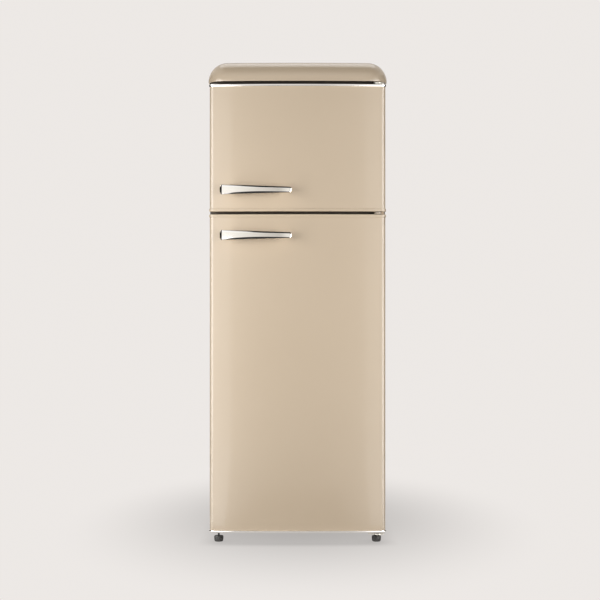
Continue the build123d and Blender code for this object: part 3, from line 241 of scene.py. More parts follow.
world = bpy.data.worlds.new("studio_room")
world.use_nodes = True
bpy.context.scene.world = world
room = Bench(world.node_tree)
seen = room.rays("Camera", "Glossy", "Transmission")
fill = room.node("ShaderNodeBackground", {"Color": (1, 1, 1, 1), "Strength": ROOM_LEVEL})
backdrop = room.node("ShaderNodeBackground", {"Color": BACKDROP, "Strength": 1.0})
mixed = room.node("ShaderNodeMixShader", {0: seen, 1: fill, 2: backdrop})
room.node("ShaderNodeOutputWorld", {"Surface": mixed})
print("world fill", ROOM_LEVEL)

# %% Floor
FLOOR_HALF = 4.0
FLOOR_FADE = (2.0, 3.2)
# Painted shade on the floor: the oval's centre, reach and depth, then the darker contact shade's depth and
# reach.
SHADE_CENTRE = (0.02, 0.35, 0.0)
SHADE_REACH = (0.83, 1.64, 1.0)
PAINTED_SHADE_DEPTH = 0.40
PAINTED_CONTACT_DEPTH = 0.35
CONTACT_REACH = 0.06
CONTACT_SAMPLES = 16


def floor_finish():
    """Pale paper with painted shade round and under the fridge, clear further out, where the backdrop takes
    over.
    """
    finish = Finish("floor_paper")
    place = finish.place()

    def soft_step(spot, low, high):
        reach = finish.node("ShaderNodeVectorMath", {0: spot}, out="Value", operation="LENGTH")
        limits = {"Value": reach, "From Min": low, "From Max": high}
        return finish.node("ShaderNodeMapRange", limits, interpolation_type="SMOOTHSTEP")

    fade = soft_step(place, *FLOOR_FADE)
    offset = finish.node("ShaderNodeVectorMath", {0: place, 1: SHADE_CENTRE}, operation="SUBTRACT")
    in_reaches = finish.node("ShaderNodeVectorMath", {0: offset, 1: SHADE_REACH}, operation="DIVIDE")
    open_floor = soft_step(in_reaches, 0.0, 1.0)
    colour = finish.colours(finish.noise(60.0, 3.0), (0.12, 0.117, 0.114, 1), (0.14, 0.137, 0.134, 1))
    paper = finish.node("ShaderNodeBsdfDiffuse", {"Color": colour})
    reach = {"Distance": CONTACT_REACH}
    contact = finish.node("ShaderNodeAmbientOcclusion", reach, out="AO", samples=CONTACT_SAMPLES)
    # Painted shade: the glow darkens in an oval round the fridge and, by ambient occlusion, where it meets
    # the floor.
    level = (1.0 - PAINTED_SHADE_DEPTH * (1.0 - open_floor)) * (1.0 - PAINTED_CONTACT_DEPTH * (1.0 - contact))
    pale = finish.glow(finish.colours(level, (0, 0, 0, 1), BACKDROP), 1.0)
    paper = finish.node("ShaderNodeMixShader", {0: finish.rays("Camera", "Glossy"), 1: paper, 2: pale})
    clear = finish.node("ShaderNodeBsdfTransparent")
    return finish.show(finish.node("ShaderNodeMixShader", {0: fade, 1: paper, 2: clear}))


def stage_sheet(name, points, material):
    """A four-cornered sheet that belongs to the studio, not to the fridge."""
    mesh = bpy.data.meshes.new(name)
    mesh.from_pydata(points, [], [(0, 1, 2, 3)])
    mesh.materials.append(material)
    sheet = put(name, mesh)
    return sheet


def level_board(left, right, front, back, z):
    return [(left, front, z), (right, front, z), (right, back, z), (left, back, z)]


stage_sheet("floor", level_board(-FLOOR_HALF, FLOOR_HALF, -FLOOR_HALF, FLOOR_HALF, 0), floor_finish())
print("floor", 2 * FLOOR_HALF, "m")

# %% [markdown]
# ## Black flags and white cards
# Chrome only looks like chrome when it has something dark to mirror, so a photographer hangs black flags
# beside, above and below the lens. White cards do the opposite, but these glow: the crowned doors mirror them
# near their edges as painted highlights, which brighten each door from its middle outwards, and the handles
# mirror two cards of their own. All of these are seen by mirror rays alone, so they throw no shade and no
# light.

# %% Flags and cards
def board(name, points, material):
    """A sheet that only mirror rays see."""
    sheet = stage_sheet(name, points, material)
    sheet.visible_camera = False
    sheet.visible_diffuse = False
    sheet.visible_shadow = False
    sheet.visible_transmission = False


def card_finish(name, level):
    finish = Finish(name)
    white = finish.colours(finish.noise(2.0), (0.97, 0.97, 0.96, 1), (1, 1, 1, 1))
    return finish.show(finish.glow(white, level))


# Painted light along the handle card, strongest at its left end: each tone's place and colour.
HANDLE_TONES = (
    (0.0, (0.98, 0.95, 0.90)),
    (0.5, (0.70, 0.67, 0.625)),
    (0.84, (0.54, 0.515, 0.475)),
    (0.97, (0.88, 0.85, 0.80)),
)
TONES_LEFT = -1.3
TONES_RIGHT = 0.8
HANDLE_LEVEL = 1.2


def graded_card_finish():
    """A glowing card with painted light that falls off from its left end, for the long faces of the handles.
    """
    finish = Finish("graded_card")
    across = finish.node("ShaderNodeSeparateXYZ", {0: finish.place()}, out="X")
    span = {"Value": across, "From Min": TONES_LEFT, "From Max": TONES_RIGHT}
    painted_falloff = finish.ramp(finish.node("ShaderNodeMapRange", span), *HANDLE_TONES)
    return finish.show(finish.glow(painted_falloff, HANDLE_LEVEL))


def upright_board(left, right, y, low, high):
    return [(left, y, low), (right, y, low), (right, y, high), (left, y, high)]


def side_board(x, front, back, high):
    return [(x, front, 0.0), (x, back, 0.0), (x, back, high), (x, front, high)]


print("board helpers ready")

# %% Where the boards stand
FLAG_LIFT = 0.004
CARD_LIFT = 0.003
CREST_LEVEL = 1.2
# Corners of the boards that lie just above the floor, x and y.
FLOOR_FLAG = ((-0.30, -0.62), (0.24, -0.62), (0.24, -1.7), (-0.24, -1.7))
FLOOR_CARD = ((0.30, -0.64), (0.50, -0.64), (1.83, -3.6), (0.80, -3.6))
# Boards of the right side, which the left side mirrors.
SIDE_BOARDS = {
    "flag": side_board(x=2.4, front=-0.9, back=2.4, high=2.6),
    "edge_flag": upright_board(left=0.37, right=0.93, y=0.4, low=0.0, high=1.55),
    "edge_card": side_board(x=0.62, front=-0.69, back=-0.356, high=1.5),
    "card": upright_board(left=0.80, right=1.83, y=-3.6, low=0.0, high=1.85),
    "floor_card": [(x, y, CARD_LIFT) for x, y in FLOOR_CARD],
}
# Each side's sign and the levels of its cards; a board without a level is a black flag.
CARD_LEVELS = {
    "left": (-1, {"edge_card": 7.0, "card": 3.3, "floor_card": 3.9}),
    "right": (1, {"edge_card": 6.5, "card": 2.5, "floor_card": 3.0}),
}

cloth = Finish("black_felt")
nap = cloth.colours(cloth.noise(3.0), (0.010, 0.010, 0.011, 1), (0.016, 0.015, 0.015, 1))
felt = cloth.surface(base_color=nap, roughness=0.9)
handle_card = upright_board(left=-1.8, right=1.2, y=-4.8, low=2.0, high=3.0)
crest_card = upright_board(left=-1.6, right=1.0, y=-2.2, low=2.35, high=3.4)
board("floor_flag", [(x, y, FLAG_LIFT) for x, y in FLOOR_FLAG], felt)
board("ceiling_flag", level_board(left=-0.7, right=1.6, front=-1.1, back=-0.15, z=2.5), felt)
board("handle_card", handle_card, graded_card_finish())
board("crest_card", crest_card, card_finish("crest_card", CREST_LEVEL))
for side, (sign, levels) in CARD_LEVELS.items():
    for kind, points in SIDE_BOARDS.items():
        name = f"{side}_{kind}"
        material = card_finish(name, levels[kind]) if kind in levels else felt
        board(name, [(sign * x, y, z) for x, y, z in points], material)

# %% [markdown]
# ## Cream enamel
# The doors are steel, painted cream and baked. Up close such paint has a faint ripple, like orange skin,
# and its gloss is not quite even. A fine noise gives the ripple as bump, and slow ones shift colour and
# roughness a little. The cabinet's sides are powder coated in the same cream, which leaves them satin, and
# the end mouldings and the cap are plastic, coloured through. One function covers all of these.

# %% Cream finishes
CREAM = (0.645, 0.520, 0.378)
CREAM_DEEP = (0.615, 0.490, 0.352)


def coat(name, light, deep, cloud, rough, sheen, grain, relief, **fixed):
    """Two close tones in clouds, a gloss that wanders with a noise of its own, and a grain as bump.

    Cloud and grain are a noise's scale and detail. Sheen is how much the roughness wanders, and its noise.
    Relief is the bump's strength and distance.
    """
    finish = Finish(name)
    wander, *sheen_noise = sheen
    return finish.surface(
        base_color=finish.colours(finish.noise(*cloud), (*light, 1), (*deep, 1)),
        roughness=rough + wander * finish.noise(*sheen_noise),
        normal=finish.bump(finish.noise(*grain), *relief),
        **fixed,
    )


cream_enamel = coat(
    "cream_enamel", CREAM, CREAM_DEEP, (3.5, 3.0), 0.20, (0.08, 9.0, 4.0), (420.0, 1.0), (0.10, 0.0002),
    coat_weight=0.35, coat_roughness=0.06,
)
cream_powder = coat(
    "cream_powder", CREAM, CREAM_DEEP, (3.5, 3.0), 0.46, (0.08, 9.0, 4.0), (700.0, 2.0), (0.12, 0.0002),
    specular_ior_level=0.22,
)
GRAIN = ((5.0, 2.0), 0.24, (0.03, 14.0, 3.0), (900.0, 2.0), (0.05, 0.0001))
GLOSS = {"coat_weight": 0.2, "coat_roughness": 0.1}
cream_moulding = coat("cream_moulding", CREAM, (0.635, 0.510, 0.368), *GRAIN, **GLOSS)
# The cap is the same plastic as the end mouldings; its darker tone is painted shade on its upturned bullnose.
shaded_cap_moulding = coat("shaded_cap_moulding", (0.600, 0.482, 0.348), (0.590, 0.472, 0.340), *GRAIN, **GLOSS)
print("cream", CREAM)

# %% [markdown]
# ## Metals
# Chrome is a mirror with a few soft smudges. Galvanised sheet shows flat crystals, which a Voronoi
# pattern draws. Copper has darkened patches, rolled aluminium has fine lines, and zinc-plated hinges are
# a dull warm grey.

# %% Metal finishes
finish = Finish("chrome")
smudge = finish.noise(28.0, 4.0)
chrome = finish.surface(
    base_color=finish.colours(smudge, (0.875, 0.86, 0.835, 1), (0.815, 0.80, 0.775, 1)),
    metallic=1.0,
    roughness=0.045 + 0.07 * smudge ** 2.0,
)

finish = Finish("galvanised_steel")
crystal = finish.node("ShaderNodeTexVoronoi", {"Vector": finish.place(), "Scale": 150.0}, out="Color")
tone = finish.node("ShaderNodeSeparateColor", {0: crystal})
galvanised = finish.surface(
    base_color=finish.colours(tone, (0.54, 0.55, 0.56, 1), (0.65, 0.66, 0.66, 1)),
    metallic=1.0,
    roughness=0.34 + 0.16 * tone,
)

zinc = coat(
    "zinc_plate", (0.66, 0.63, 0.57), (0.56, 0.53, 0.47), (45.0, 3.0), 0.36, (0.14, 45.0, 3.0), (800.0, 2.0),
    (0.12, 0.0001), metallic=0.9,
)

finish = Finish("copper")
tarnish = finish.ramp(finish.noise(70.0, 5.0), (0.40, (0.72, 0.36, 0.22)), (0.68, (0.36, 0.18, 0.12)))
copper = finish.surface(
    base_color=tarnish,
    metallic=1.0,
    roughness=0.26 + 0.24 * finish.noise(40.0, 3.0),
)

finish = Finish("rolled_aluminium")
lines = finish.noise(60.0, 2.0, (1.0, 1.0, 30.0))
frost = finish.noise(260.0, 3.0)
aluminium = finish.surface(
    base_color=finish.colours(frost, (0.74, 0.76, 0.78, 1), (0.84, 0.86, 0.88, 1)),
    metallic=0.85,
    roughness=0.32 + 0.22 * lines,
    normal=finish.bump(frost, 0.2, 0.0003),
)
print("metals", [m.name for m in (chrome, galvanised, zinc, copper, aluminium)])

# %% [markdown]
# ## Plastics, rubber and paint
# The inner walls are vacuum-formed white sheet with a slight waviness. The seal is soft vinyl, the feet a
# coarse dark plastic, and the compressor is dipped in satin black paint that gathers dust on its top.

# %% Plastic and paint finishes
def grained(name, low, high, rough, grain_scale, grain_depth, strength=0.25):
    """An opaque plastic or paint whose moulded grain also dulls it."""
    grain = (grain_scale, 3.0)
    return coat(name, low, high, (12.0, 3.0), rough, (0.12, *grain), grain, (strength, grain_depth))


white_liner = grained("liner_sheet", (0.78, 0.79, 0.78), (0.82, 0.825, 0.81), 0.26, 160.0, 0.0002, 0.15)
seal_vinyl = grained("seal_vinyl", (0.085, 0.080, 0.075), (0.11, 0.105, 0.10), 0.48, 600.0, 0.0001)
dark_plastic = grained(
    "foot_plastic", (0.050, 0.047, 0.044), (0.070, 0.066, 0.061), 0.50, 1100.0, 0.0002, 0.5,
)
grey_plastic = grained("grey_plastic", (0.46, 0.47, 0.48), (0.52, 0.53, 0.53), 0.38, 700.0, 0.0001)
black_rubber = grained("black_rubber", (0.020, 0.020, 0.021), (0.032, 0.031, 0.031), 0.62, 900.0, 0.0002)
foam = grained("set_foam", (0.72, 0.63, 0.40), (0.80, 0.71, 0.48), 0.80, 500.0, 0.0006, 0.6)
# Rails and front flange are near-black: painted shade that keeps the gaps round the closed doors dark.
gap_shade_paint = grained("gap_shade_paint", (0.062, 0.046, 0.031), (0.075, 0.056, 0.038), 0.36, 500.0, 0.0002, 0.15)

# Satin black paint is greyer and duller where it faces up and dust settles.
finish = Finish("satin_black")
facing = finish.node("ShaderNodeNewGeometry", out="Normal")
up = finish.node("ShaderNodeSeparateXYZ", {0: facing}, out="Z")
settled = finish.node("ShaderNodeMapRange", {"Value": up, "From Min": 0.2, "From Max": 1.0})
dust = settled * finish.noise(55.0, 5.0)
satin_black = finish.surface(
    base_color=finish.colours(dust, (0.016, 0.016, 0.018, 1), (0.13, 0.125, 0.115, 1)),
    roughness=0.30 + 0.45 * dust,
    normal=finish.bump(finish.noise(500.0, 2.0), 0.15, 0.0002),
)
print("plastics and paint ready")

# %% [markdown]
# ## Clear pieces
# Bins and drawer are clear polystyrene, the shelves are tempered glass with a green cast, and the lamp
# sits behind a frosted lens. Transmission and IOR are plain numbers on the shader. Only roughness and a
# light tint vary, as handled plastic does.

# %% Clear finishes
def clear_finish(name, tint, haze, rough, ior, transmission):
    finish = Finish(name)
    touch = finish.noise(18.0, 4.0)
    return finish.surface(
        base_color=finish.colours(touch, (*tint, 1), (*haze, 1)),
        roughness=rough + 0.06 * touch,
        transmission_weight=transmission,
        ior=ior,
    )


clear_plastic = clear_finish("clear_polystyrene", (0.97, 0.985, 0.99), (0.95, 0.97, 0.98), 0.015, 1.25, 0.96)
shelf_glass = clear_finish("shelf_glass", (0.86, 0.95, 0.91), (0.82, 0.93, 0.88), 0.01, 1.5, 0.95)
lamp_lens = clear_finish("frosted_lens", (0.95, 0.95, 0.92), (0.88, 0.88, 0.85), 0.38, 1.45, 0.6)
print("clear finishes ready")

# %% [markdown]
# ## From rings to a skin
# Most pieces of this fridge have one section carried along a line or raised up a plan. One helper joins a
# stack of equal rings into walls and closes both ends; another turns the result into an object, shaded
# smooth except at real edges, that rides on its body and stands for its solid.

# %% Mesh helpers
MM = 0.001
CREASE = 32
SAME_FLAT = 0.3
SAME_POINT = 1e-6


def skin(rings, looped=False):
    """Points and faces of the walls between rings; a looped stack joins its last ring to its first."""
    size = len(rings[0])
    points = [point for ring in rings for point in ring]
    faces = []
    for row in range(len(rings) if looped else len(rings) - 1):
        here = row * size
        there = (row + 1) % len(rings) * size
        for step in range(size):
            after = (step + 1) % size
            faces.append((here + step, here + after, there + after, there + step))
    if not looped:
        faces.append(tuple(reversed(range(size))))
        faces.append(tuple(range(len(points) - size, len(points))))
    return points, faces


def merged(*skins):
    """Several skins as one list of points and one of faces."""
    points = []
    faces = []
    for more_points, more_faces in skins:
        start = len(points)
        points += more_points
        faces += [tuple(start + index for index in face) for face in more_faces]
    return points, faces


def raw_mesh(name, points, edges=(), faces=()):
    """A mesh from points in millimetres."""
    mesh = bpy.data.meshes.new(name)
    mesh.from_pydata([tuple(value * MM for value in point) for point in points], edges, faces)
    return mesh


def finish_mesh(mesh, material, crease=CREASE, join_flats=False):
    """Close doubles, turn faces outward, shade smooth but for edges sharper than the crease angle.

    Joined flats are one face each, so that no thin triangle pulls at the shading.
    """
    work = bmesh.new()
    work.from_mesh(mesh)
    bmesh.ops.remove_doubles(work, verts=work.verts, dist=SAME_POINT)
    if join_flats:
        limit = math.radians(SAME_FLAT)
        bmesh.ops.dissolve_limit(work, angle_limit=limit, verts=work.verts, edges=work.edges)
    bmesh.ops.recalc_face_normals(work, faces=work.faces)
    work.to_mesh(mesh)
    work.free()
    mesh.shade_smooth()
    mesh.set_sharp_from_angle(angle=math.radians(crease))
    mesh.materials.clear()
    mesh.materials.append(material)


def plain_mesh(holder):
    """The mesh that an object's modifiers leave; the object itself goes."""
    bpy.context.view_layer.update()
    mesh = bpy.data.meshes.new_from_object(holder.evaluated_get(bpy.context.evaluated_depsgraph_get()))
    bpy.data.objects.remove(holder)
    return mesh


def weigh_normals(mesh):
    """The same mesh with normals that follow its large faces, so that flats stay flat beside fillets."""
    holder = put("holder", mesh)
    holder.modifiers.new("weighted", "WEIGHTED_NORMAL").keep_sharp = True
    return plain_mesh(holder)


def place_piece(name, mesh, body, stands_for=()):
    """An object of the fridge that rides on its body and stands for its solids."""
    piece = put(name, mesh)
    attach(piece, body)
    if stands_for:
        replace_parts(piece, *stands_for)


def skin_piece(name, points_faces, material, body, stands_for=(), crease=CREASE):
    points, faces = points_faces
    mesh = raw_mesh(name, points, faces=faces)
    finish_mesh(mesh, material, crease)
    place_piece(name, weigh_normals(mesh), body, stands_for)


def arc(centre_x, centre_y, radius, start, stop, steps):
    """Points on a circle from one angle to another, in degrees."""
    angles = [math.radians(start + (stop - start) * step / steps) for step in range(steps + 1)]
    return [(centre_x + radius * math.cos(a), centre_y + radius * math.sin(a)) for a in angles]


def quarter(steps):
    """Angles from 0 to 90 degrees, in radians."""
    return [math.radians(90 * step / steps) for step in range(steps + 1)]


print("mesh helpers ready")

# %% [markdown]
# ## The crowned plan
# Seen from above, doors and cap share one outline: a front that bulges by 12 mm over the full width, two
# round front corners and a straight back. The crown is part of a large circle, so the outline can shrink
# by any inset around the same centres, and the rings stay parallel.

# %% Plan outline
DOOR_HALF = 269.0
DOOR_FRONT = -267.5
DOOR_BACK = -215.5
DOOR_CORNER = 13.0
CROWN = 12.0
CORNER_STEPS = 14
CROWN_STEPS = 40
BACK_STEPS = 4


def crowned_plan(half, front, corner, back, inset=0.0, back_corner=0.0):
    """Outline of a crowned plan, drawn in by an inset at the front and sides only."""
    radius = (half ** 2 + CROWN ** 2) / (2 * CROWN)
    centre_y = front + radius
    corner_y = centre_y - math.sqrt((radius - corner) ** 2 - (half - corner) ** 2)
    lean = math.degrees(math.asin((half - corner) / (radius - corner)))
    corner_x = half - corner
    left = arc(-corner_x, corner_y, corner - inset, 180, 270 - lean, CORNER_STEPS)
    crown = arc(0, centre_y, radius - inset, 270 - lean, 270 + lean, CROWN_STEPS)[1:-1]
    right = arc(corner_x, corner_y, corner - inset, 270 + lean, 360, CORNER_STEPS)
    side = half - inset
    rear = arc(side - back_corner, back - back_corner, back_corner, 0, 90, BACK_STEPS)
    rear += arc(-side + back_corner, back - back_corner, back_corner, 90, 180, BACK_STEPS)
    return left + crown + right + rear


print(len(crowned_plan(DOOR_HALF, DOOR_FRONT, DOOR_CORNER, DOOR_BACK)), "points round a door")

# %% [markdown]
# ## Top cap
# The cap is one plastic moulding, turned over at the front and both sides in a quarter round of 58 mm. It
# could be a box with a Bevel modifier, but the crown would then tear at the corners. Rings of the plan,
# each drawn in along a quarter circle, give a true bullnose, and a second set of rings is its inside.

# %% Cap
CAP_LOW = 1417.5
CAP_HIGH = 1480.0
CAP_HALF = 275.0
CAP_FRONT = DOOR_FRONT - 3.0
CAP_BACK = 277.5
CAP_CORNER = 62.0
CAP_BACK_CORNER = 2.0
CAP_EDGE = 58.0
CAP_WALL = 3.0
CAP_RIM = 1.2
RIM_BEND = 0.3 * CAP_RIM
EDGE_STEPS = 18


def cap_ring(inset, z, back):
    outline = crowned_plan(CAP_HALF, CAP_FRONT, CAP_CORNER, back, inset, CAP_BACK_CORNER)
    return [(x, y, z) for x, y in outline]


def bullnose(wall):
    """Rings up one face of the cap's wall: upright first, then over the quarter round."""
    turn = CAP_EDGE - wall
    rings = []
    for angle in quarter(EDGE_STEPS):
        inset = wall + turn * (1 - math.cos(angle))
        rings.append(cap_ring(inset, CAP_HIGH - CAP_EDGE + turn * math.sin(angle), CAP_BACK - wall))
    return rings


inside = list(reversed(bullnose(CAP_WALL)))
rim = [
    cap_ring(CAP_WALL, CAP_LOW, CAP_BACK - CAP_WALL),
    cap_ring(CAP_RIM, CAP_LOW, CAP_BACK - CAP_RIM),
    cap_ring(RIM_BEND, CAP_LOW + RIM_BEND, CAP_BACK),
    cap_ring(0, CAP_LOW + CAP_RIM, CAP_BACK),
]
skin_piece("cap", skin(inside + rim + bullnose(0)), shaded_cap_moulding, "cabinet", ["top_cap"])

# %% [markdown]
# ## Door sheets and end mouldings
# Each door is a sheet of steel bent round three sides, closed above and below by a moulding that stands
# two millimetres proud. Two of the four mouldings are chromed: the freezer door's top edge and the fridge
# door's bottom edge. The sheet is a thin wall along the plan; the mouldings are rings with soft edges.

# %% Doors
SHEET = 1.2
RETURN = 24.0
FOLD = 6.0
# Lower and upper edge of each sheet.
SHEETS = {"freezer": (1028.0, 1401.5), "fridge": (43.5, 1001.5)}
# Each end: its body, lower and upper edge, finish and slot.
ENDS = {
    "freezer_door_bottom_end": ("freezer_door", 1019.0, 1028.0, cream_moulding, "cream_plastic"),
    "freezer_door_top_trim": ("freezer_door", 1401.5, 1409.0, chrome, "chrome"),
    "fridge_door_top_end": ("fridge_door", 1001.5, 1010.5, cream_moulding, "cream_plastic"),
    "fridge_door_bottom_trim": ("fridge_door", 36.0, 43.5, chrome, "chrome"),
}


def sheet_line(inset):
    """The bent sheet's line in plan, from one back return round the front to the other."""
    back = DOOR_BACK - inset
    outline = crowned_plan(DOOR_HALF, DOOR_FRONT, DOOR_CORNER, back, inset, FOLD - inset)
    fold_points = BACK_STEPS + 1
    right_fold = outline[-2 * fold_points:-fold_points]
    left_fold = outline[-fold_points:]
    end = DOOR_HALF - RETURN
    return [(-end, back)] + left_fold + outline[:-2 * fold_points] + right_fold + [(end, back)]


for door, (low, high) in SHEETS.items():
    rings = [
        [(*out, low), (*out, high), (*within, high), (*within, low)]
        for out, within in zip(sheet_line(0), sheet_line(SHEET))
    ]
    body = f"{door}_door"
    skin_piece(f"{door}_front_sheet", skin(rings), cream_enamel, body, [f"{body}_sheet"])

END_PROUD = 2.0
END_EDGE = 2.4
END_STEPS = 5
end_plan = (DOOR_HALF + END_PROUD, DOOR_FRONT - END_PROUD, DOOR_CORNER + END_PROUD, DOOR_BACK)
for name, (body, low, high, material, slot) in ENDS.items():
    rings = []
    for level, side in ((low + END_EDGE, -1), (high - END_EDGE, 1)):
        for angle in quarter(END_STEPS)[::side]:
            inset = END_EDGE * (1 - math.cos(angle))
            outline = crowned_plan(*end_plan, inset, FOLD)
            rings.append([(x, y, level + side * END_EDGE * math.sin(angle)) for x, y in outline])
    skin_piece(f"{name}_moulding", skin(rings), material, body, [name])
print("door sheets", SHEETS)

# %% [markdown]
# ## Handles
# Each handle is one chromed casting: a bar that tapers from the door's free edge towards the middle, with
# a flat leaning face, two narrow bevels above that meet in a ridge and one below, on two oval posts.
# Carrying one faceted section along the bar keeps the facets crisp, which a round sweep would lose.

# %% Handles
BAR_LEFT = -236.0
BAR_RIGHT = -17.0
BAR_FRONT = -312.5
BAR_WIDE = 30.6
BAR_NARROW = 17.0
BAR_BOW = 5.0
BAR_DEPTH = 15.0
END_LENGTH = 5.0
END_FLAT = 0.55
TIP_LENGTH = BAR_NARROW / 2
TIP_FLAT = 0.02
END_FACE = 6.5
END_DEPTH = 12.0
TIP_TURN = 5.0
FACE_LEAN = 0.123
UPPER_BEVEL = 0.35
TOP_BEVEL = 0.62
LOWER_BEVEL = 0.59
HANDLES = {"freezer": 1083.45, "fridge": 945.55}
# Heights on the section are shares of half the bar's height there.
EDGE_HEIGHT = 0.99
CREST_HIGH = 0.58
CREST_FALL = 0.08
RIDGE_HIGH = 0.80
RIDGE_FALL = 1.25
RIDGE_LEAST = 0.06
KEEL_LOW = 0.95
KEEL_RISE = 0.47
KEEL_START = 0.06
KEEL_SPAN = 0.84
# The section's back: depth in front of the bar's back, and height.
BACK_ROUND = ((0.0, 0.70), (2.2, 0.93), (4.0, 1.0))
SOFT_DEPTH = 0.12
SOFT_CREST = 0.2
SOFT_KEEL = 0.3
BAR_TURN_STEPS = 10
BAR_SPANS = 24
BAR_CREASE = 24
POST_INSET = 26.0
POST_HALF = 4.5
POST_RADIUS = 5.5
POST_STEPS = 10
POST_FLARE = ((0, 1.5), (0.06, 0.3), (0.15, 0), (0.8, 0), (0.92, 0.5), (1.0, 2.0))
LEFT_POST = (BAR_LEFT + POST_INSET, -296.5, -262.0)
RIGHT_POST = (BAR_RIGHT - POST_INSET, -297.0, -266.0)


def bar_half_height(x):
    """Half the bar's height at x: a straight taper, rounded off at both ends."""
    share = (x - BAR_LEFT) / (BAR_RIGHT - BAR_LEFT)
    half = (BAR_WIDE + (BAR_NARROW - BAR_WIDE) * share) / 2
    for gap, length, least in ((x - BAR_LEFT, END_LENGTH, END_FLAT), (BAR_RIGHT - x, TIP_LENGTH, TIP_FLAT)):
        if gap < length:
            half *= max(math.sqrt(1 - (1 - gap / length) ** 2), least)
    return half


def bar_section(x, middle):
    """The bar's section at x, from the back's upper edge over the front to its lower edge."""
    half = bar_half_height(x)
    edge = EDGE_HEIGHT * half
    share = (x - BAR_LEFT) / (BAR_RIGHT - BAR_LEFT)
    bowed = BAR_FRONT + BAR_BOW * (2 * share - 1) ** 2
    back = bowed + BAR_DEPTH
    front = bowed + END_DEPTH * max(1 - (x - BAR_LEFT) / END_FACE, 0)
    if BAR_RIGHT - x < TIP_TURN:
        front += TIP_TURN * (1 - math.sqrt(max(1 - (1 - (BAR_RIGHT - x) / TIP_TURN) ** 2, 0)))
    crest = (CREST_HIGH - CREST_FALL * share) * half
    ridge = crest + (edge - crest) * max(RIDGE_HIGH - RIDGE_FALL * share, RIDGE_LEAST)
    keel = (KEEL_RISE * math.sin(math.pi * (KEEL_START + KEEL_SPAN * share)) - KEEL_LOW) * half
    top_y = front + FACE_LEAN * (crest - keel)
    ridge_y = top_y + SOFT_DEPTH + UPPER_BEVEL * (ridge - crest)
    upper_y = ridge_y + TOP_BEVEL * (edge - ridge)
    lower_y = front + SOFT_DEPTH + LOWER_BEVEL * (edge + keel)
    profile = [(back - depth, height * half) for depth, height in BACK_ROUND]
    profile += [(upper_y, edge), (ridge_y, ridge)]
    profile += [(top_y + SOFT_DEPTH, crest + SOFT_CREST), (top_y, crest - SOFT_CREST)]
    profile += [(front, keel + SOFT_KEEL), (front + SOFT_DEPTH, keel - SOFT_KEEL), (lower_y, -edge)]
    profile += [(back - depth, -height * half) for depth, height in reversed(BACK_ROUND)]
    return [(x, min(y, back), middle + z) for y, z in profile]


def bar_stations():
    """Places of the sections along the bar, closer together where the ends turn in."""
    turned = [1 - math.cos(angle) for angle in quarter(BAR_TURN_STEPS)]
    left = [BAR_LEFT + END_FACE * turn for turn in turned]
    right = [BAR_RIGHT - TIP_LENGTH * turn for turn in reversed(turned)]
    start = left[-1]
    stop = right[0]
    between = [start + (stop - start) * step / BAR_SPANS for step in range(1, BAR_SPANS)]
    return left + between + right


def post(middle, centre_x, front, back):
    """An oval post from the bar's back to the door, flared where it meets the sheet."""
    rings = []
    for share, grow in POST_FLARE:
        radius = POST_RADIUS + grow
        oval = arc(POST_HALF, 0, radius, -90, 90, POST_STEPS)
        oval += arc(-POST_HALF, 0, radius, 90, 270, POST_STEPS)
        y = front + (back - front) * share
        rings.append([(centre_x + x, y, middle + z) for x, z in oval])
    return skin(rings)


for door, middle in HANDLES.items():
    bar = skin([bar_section(x, middle) for x in bar_stations()])
    shape = merged(bar, post(middle, *LEFT_POST), post(middle, *RIGHT_POST))
    body = f"{door}_door"
    skin_piece(f"{door}_bar_handle", shape, chrome, body, [f"{door}_handle"], BAR_CREASE)
print("handles at", HANDLES)

# %% [markdown]
# ## Door seals
# The seal is an extruded vinyl strip with a folded bellows and a flat magnet bulb, welded at its corners.
# Its profile is drawn once and carried round a rounded frame; each profile point makes one ring.

# %% Seals
SEAL_INNER = 229.0
SEAL_BACK = -213.0
SEAL_CORNER = 12.0
SEAL_PROFILE = (
    (0.4, 0.0), (15.6, 0.0), (16.0, 1.0), (15.4, 2.4), (13.4, 3.2), (15.0, 4.2), (15.3, 5.4), (13.2, 6.4),
    (13.4, 8.0), (12.2, 9.05), (3.8, 9.05), (2.6, 8.0), (2.8, 6.4), (0.7, 5.4), (1.0, 4.2), (2.6, 3.2),
    (0.6, 2.4), (0.0, 1.0),
)
SEALS = {"freezer": (1040.75, 1376.5), "fridge": (88.0, 988.75)}
SEAL_STEPS = 8
SEAL_CREASE = 50


def seal_frame(half_width, low, high, grow):
    """A rounded frame seen from the front, grown outward."""
    radius = SEAL_CORNER + grow
    frame_points = []
    for turn, x_side, z_side in ((0, 1, 1), (90, -1, 1), (180, -1, -1), (270, 1, -1)):
        corner_x = x_side * (half_width - SEAL_CORNER)
        corner_z = (high - SEAL_CORNER) if z_side > 0 else (low + SEAL_CORNER)
        frame_points += arc(corner_x, corner_z, radius, turn, turn + 90, SEAL_STEPS)
    return frame_points


for door, (low, high) in SEALS.items():
    rings = [
        [(x, SEAL_BACK + depth, z) for x, z in seal_frame(SEAL_INNER, low, high, grow)]
        for grow, depth in SEAL_PROFILE
    ]
    seal = skin(rings, looped=True)
    body = f"{door}_door"
    skin_piece(f"{door}_seal", seal, seal_vinyl, body, [f"{body}_gasket"], SEAL_CREASE)
print("seals", SEALS)

# %% [markdown]
# ## Front feet
# A foot is a moulded cup with grip ribs for turning it by hand, on a threaded steel stud. The ribs are a
# wave in the radius of each ring, and the thread is a fine one along the stud.

# %% Feet
FOOT_PLACES = {"left_foot": ("left_front_foot", -244.5), "right_foot": ("right_front_foot", 244.5)}
FOOT_Y = -183.5
FOOT_RIBS = 20
ROUND_STEPS = 120
RIB_DEPTH = 0.7
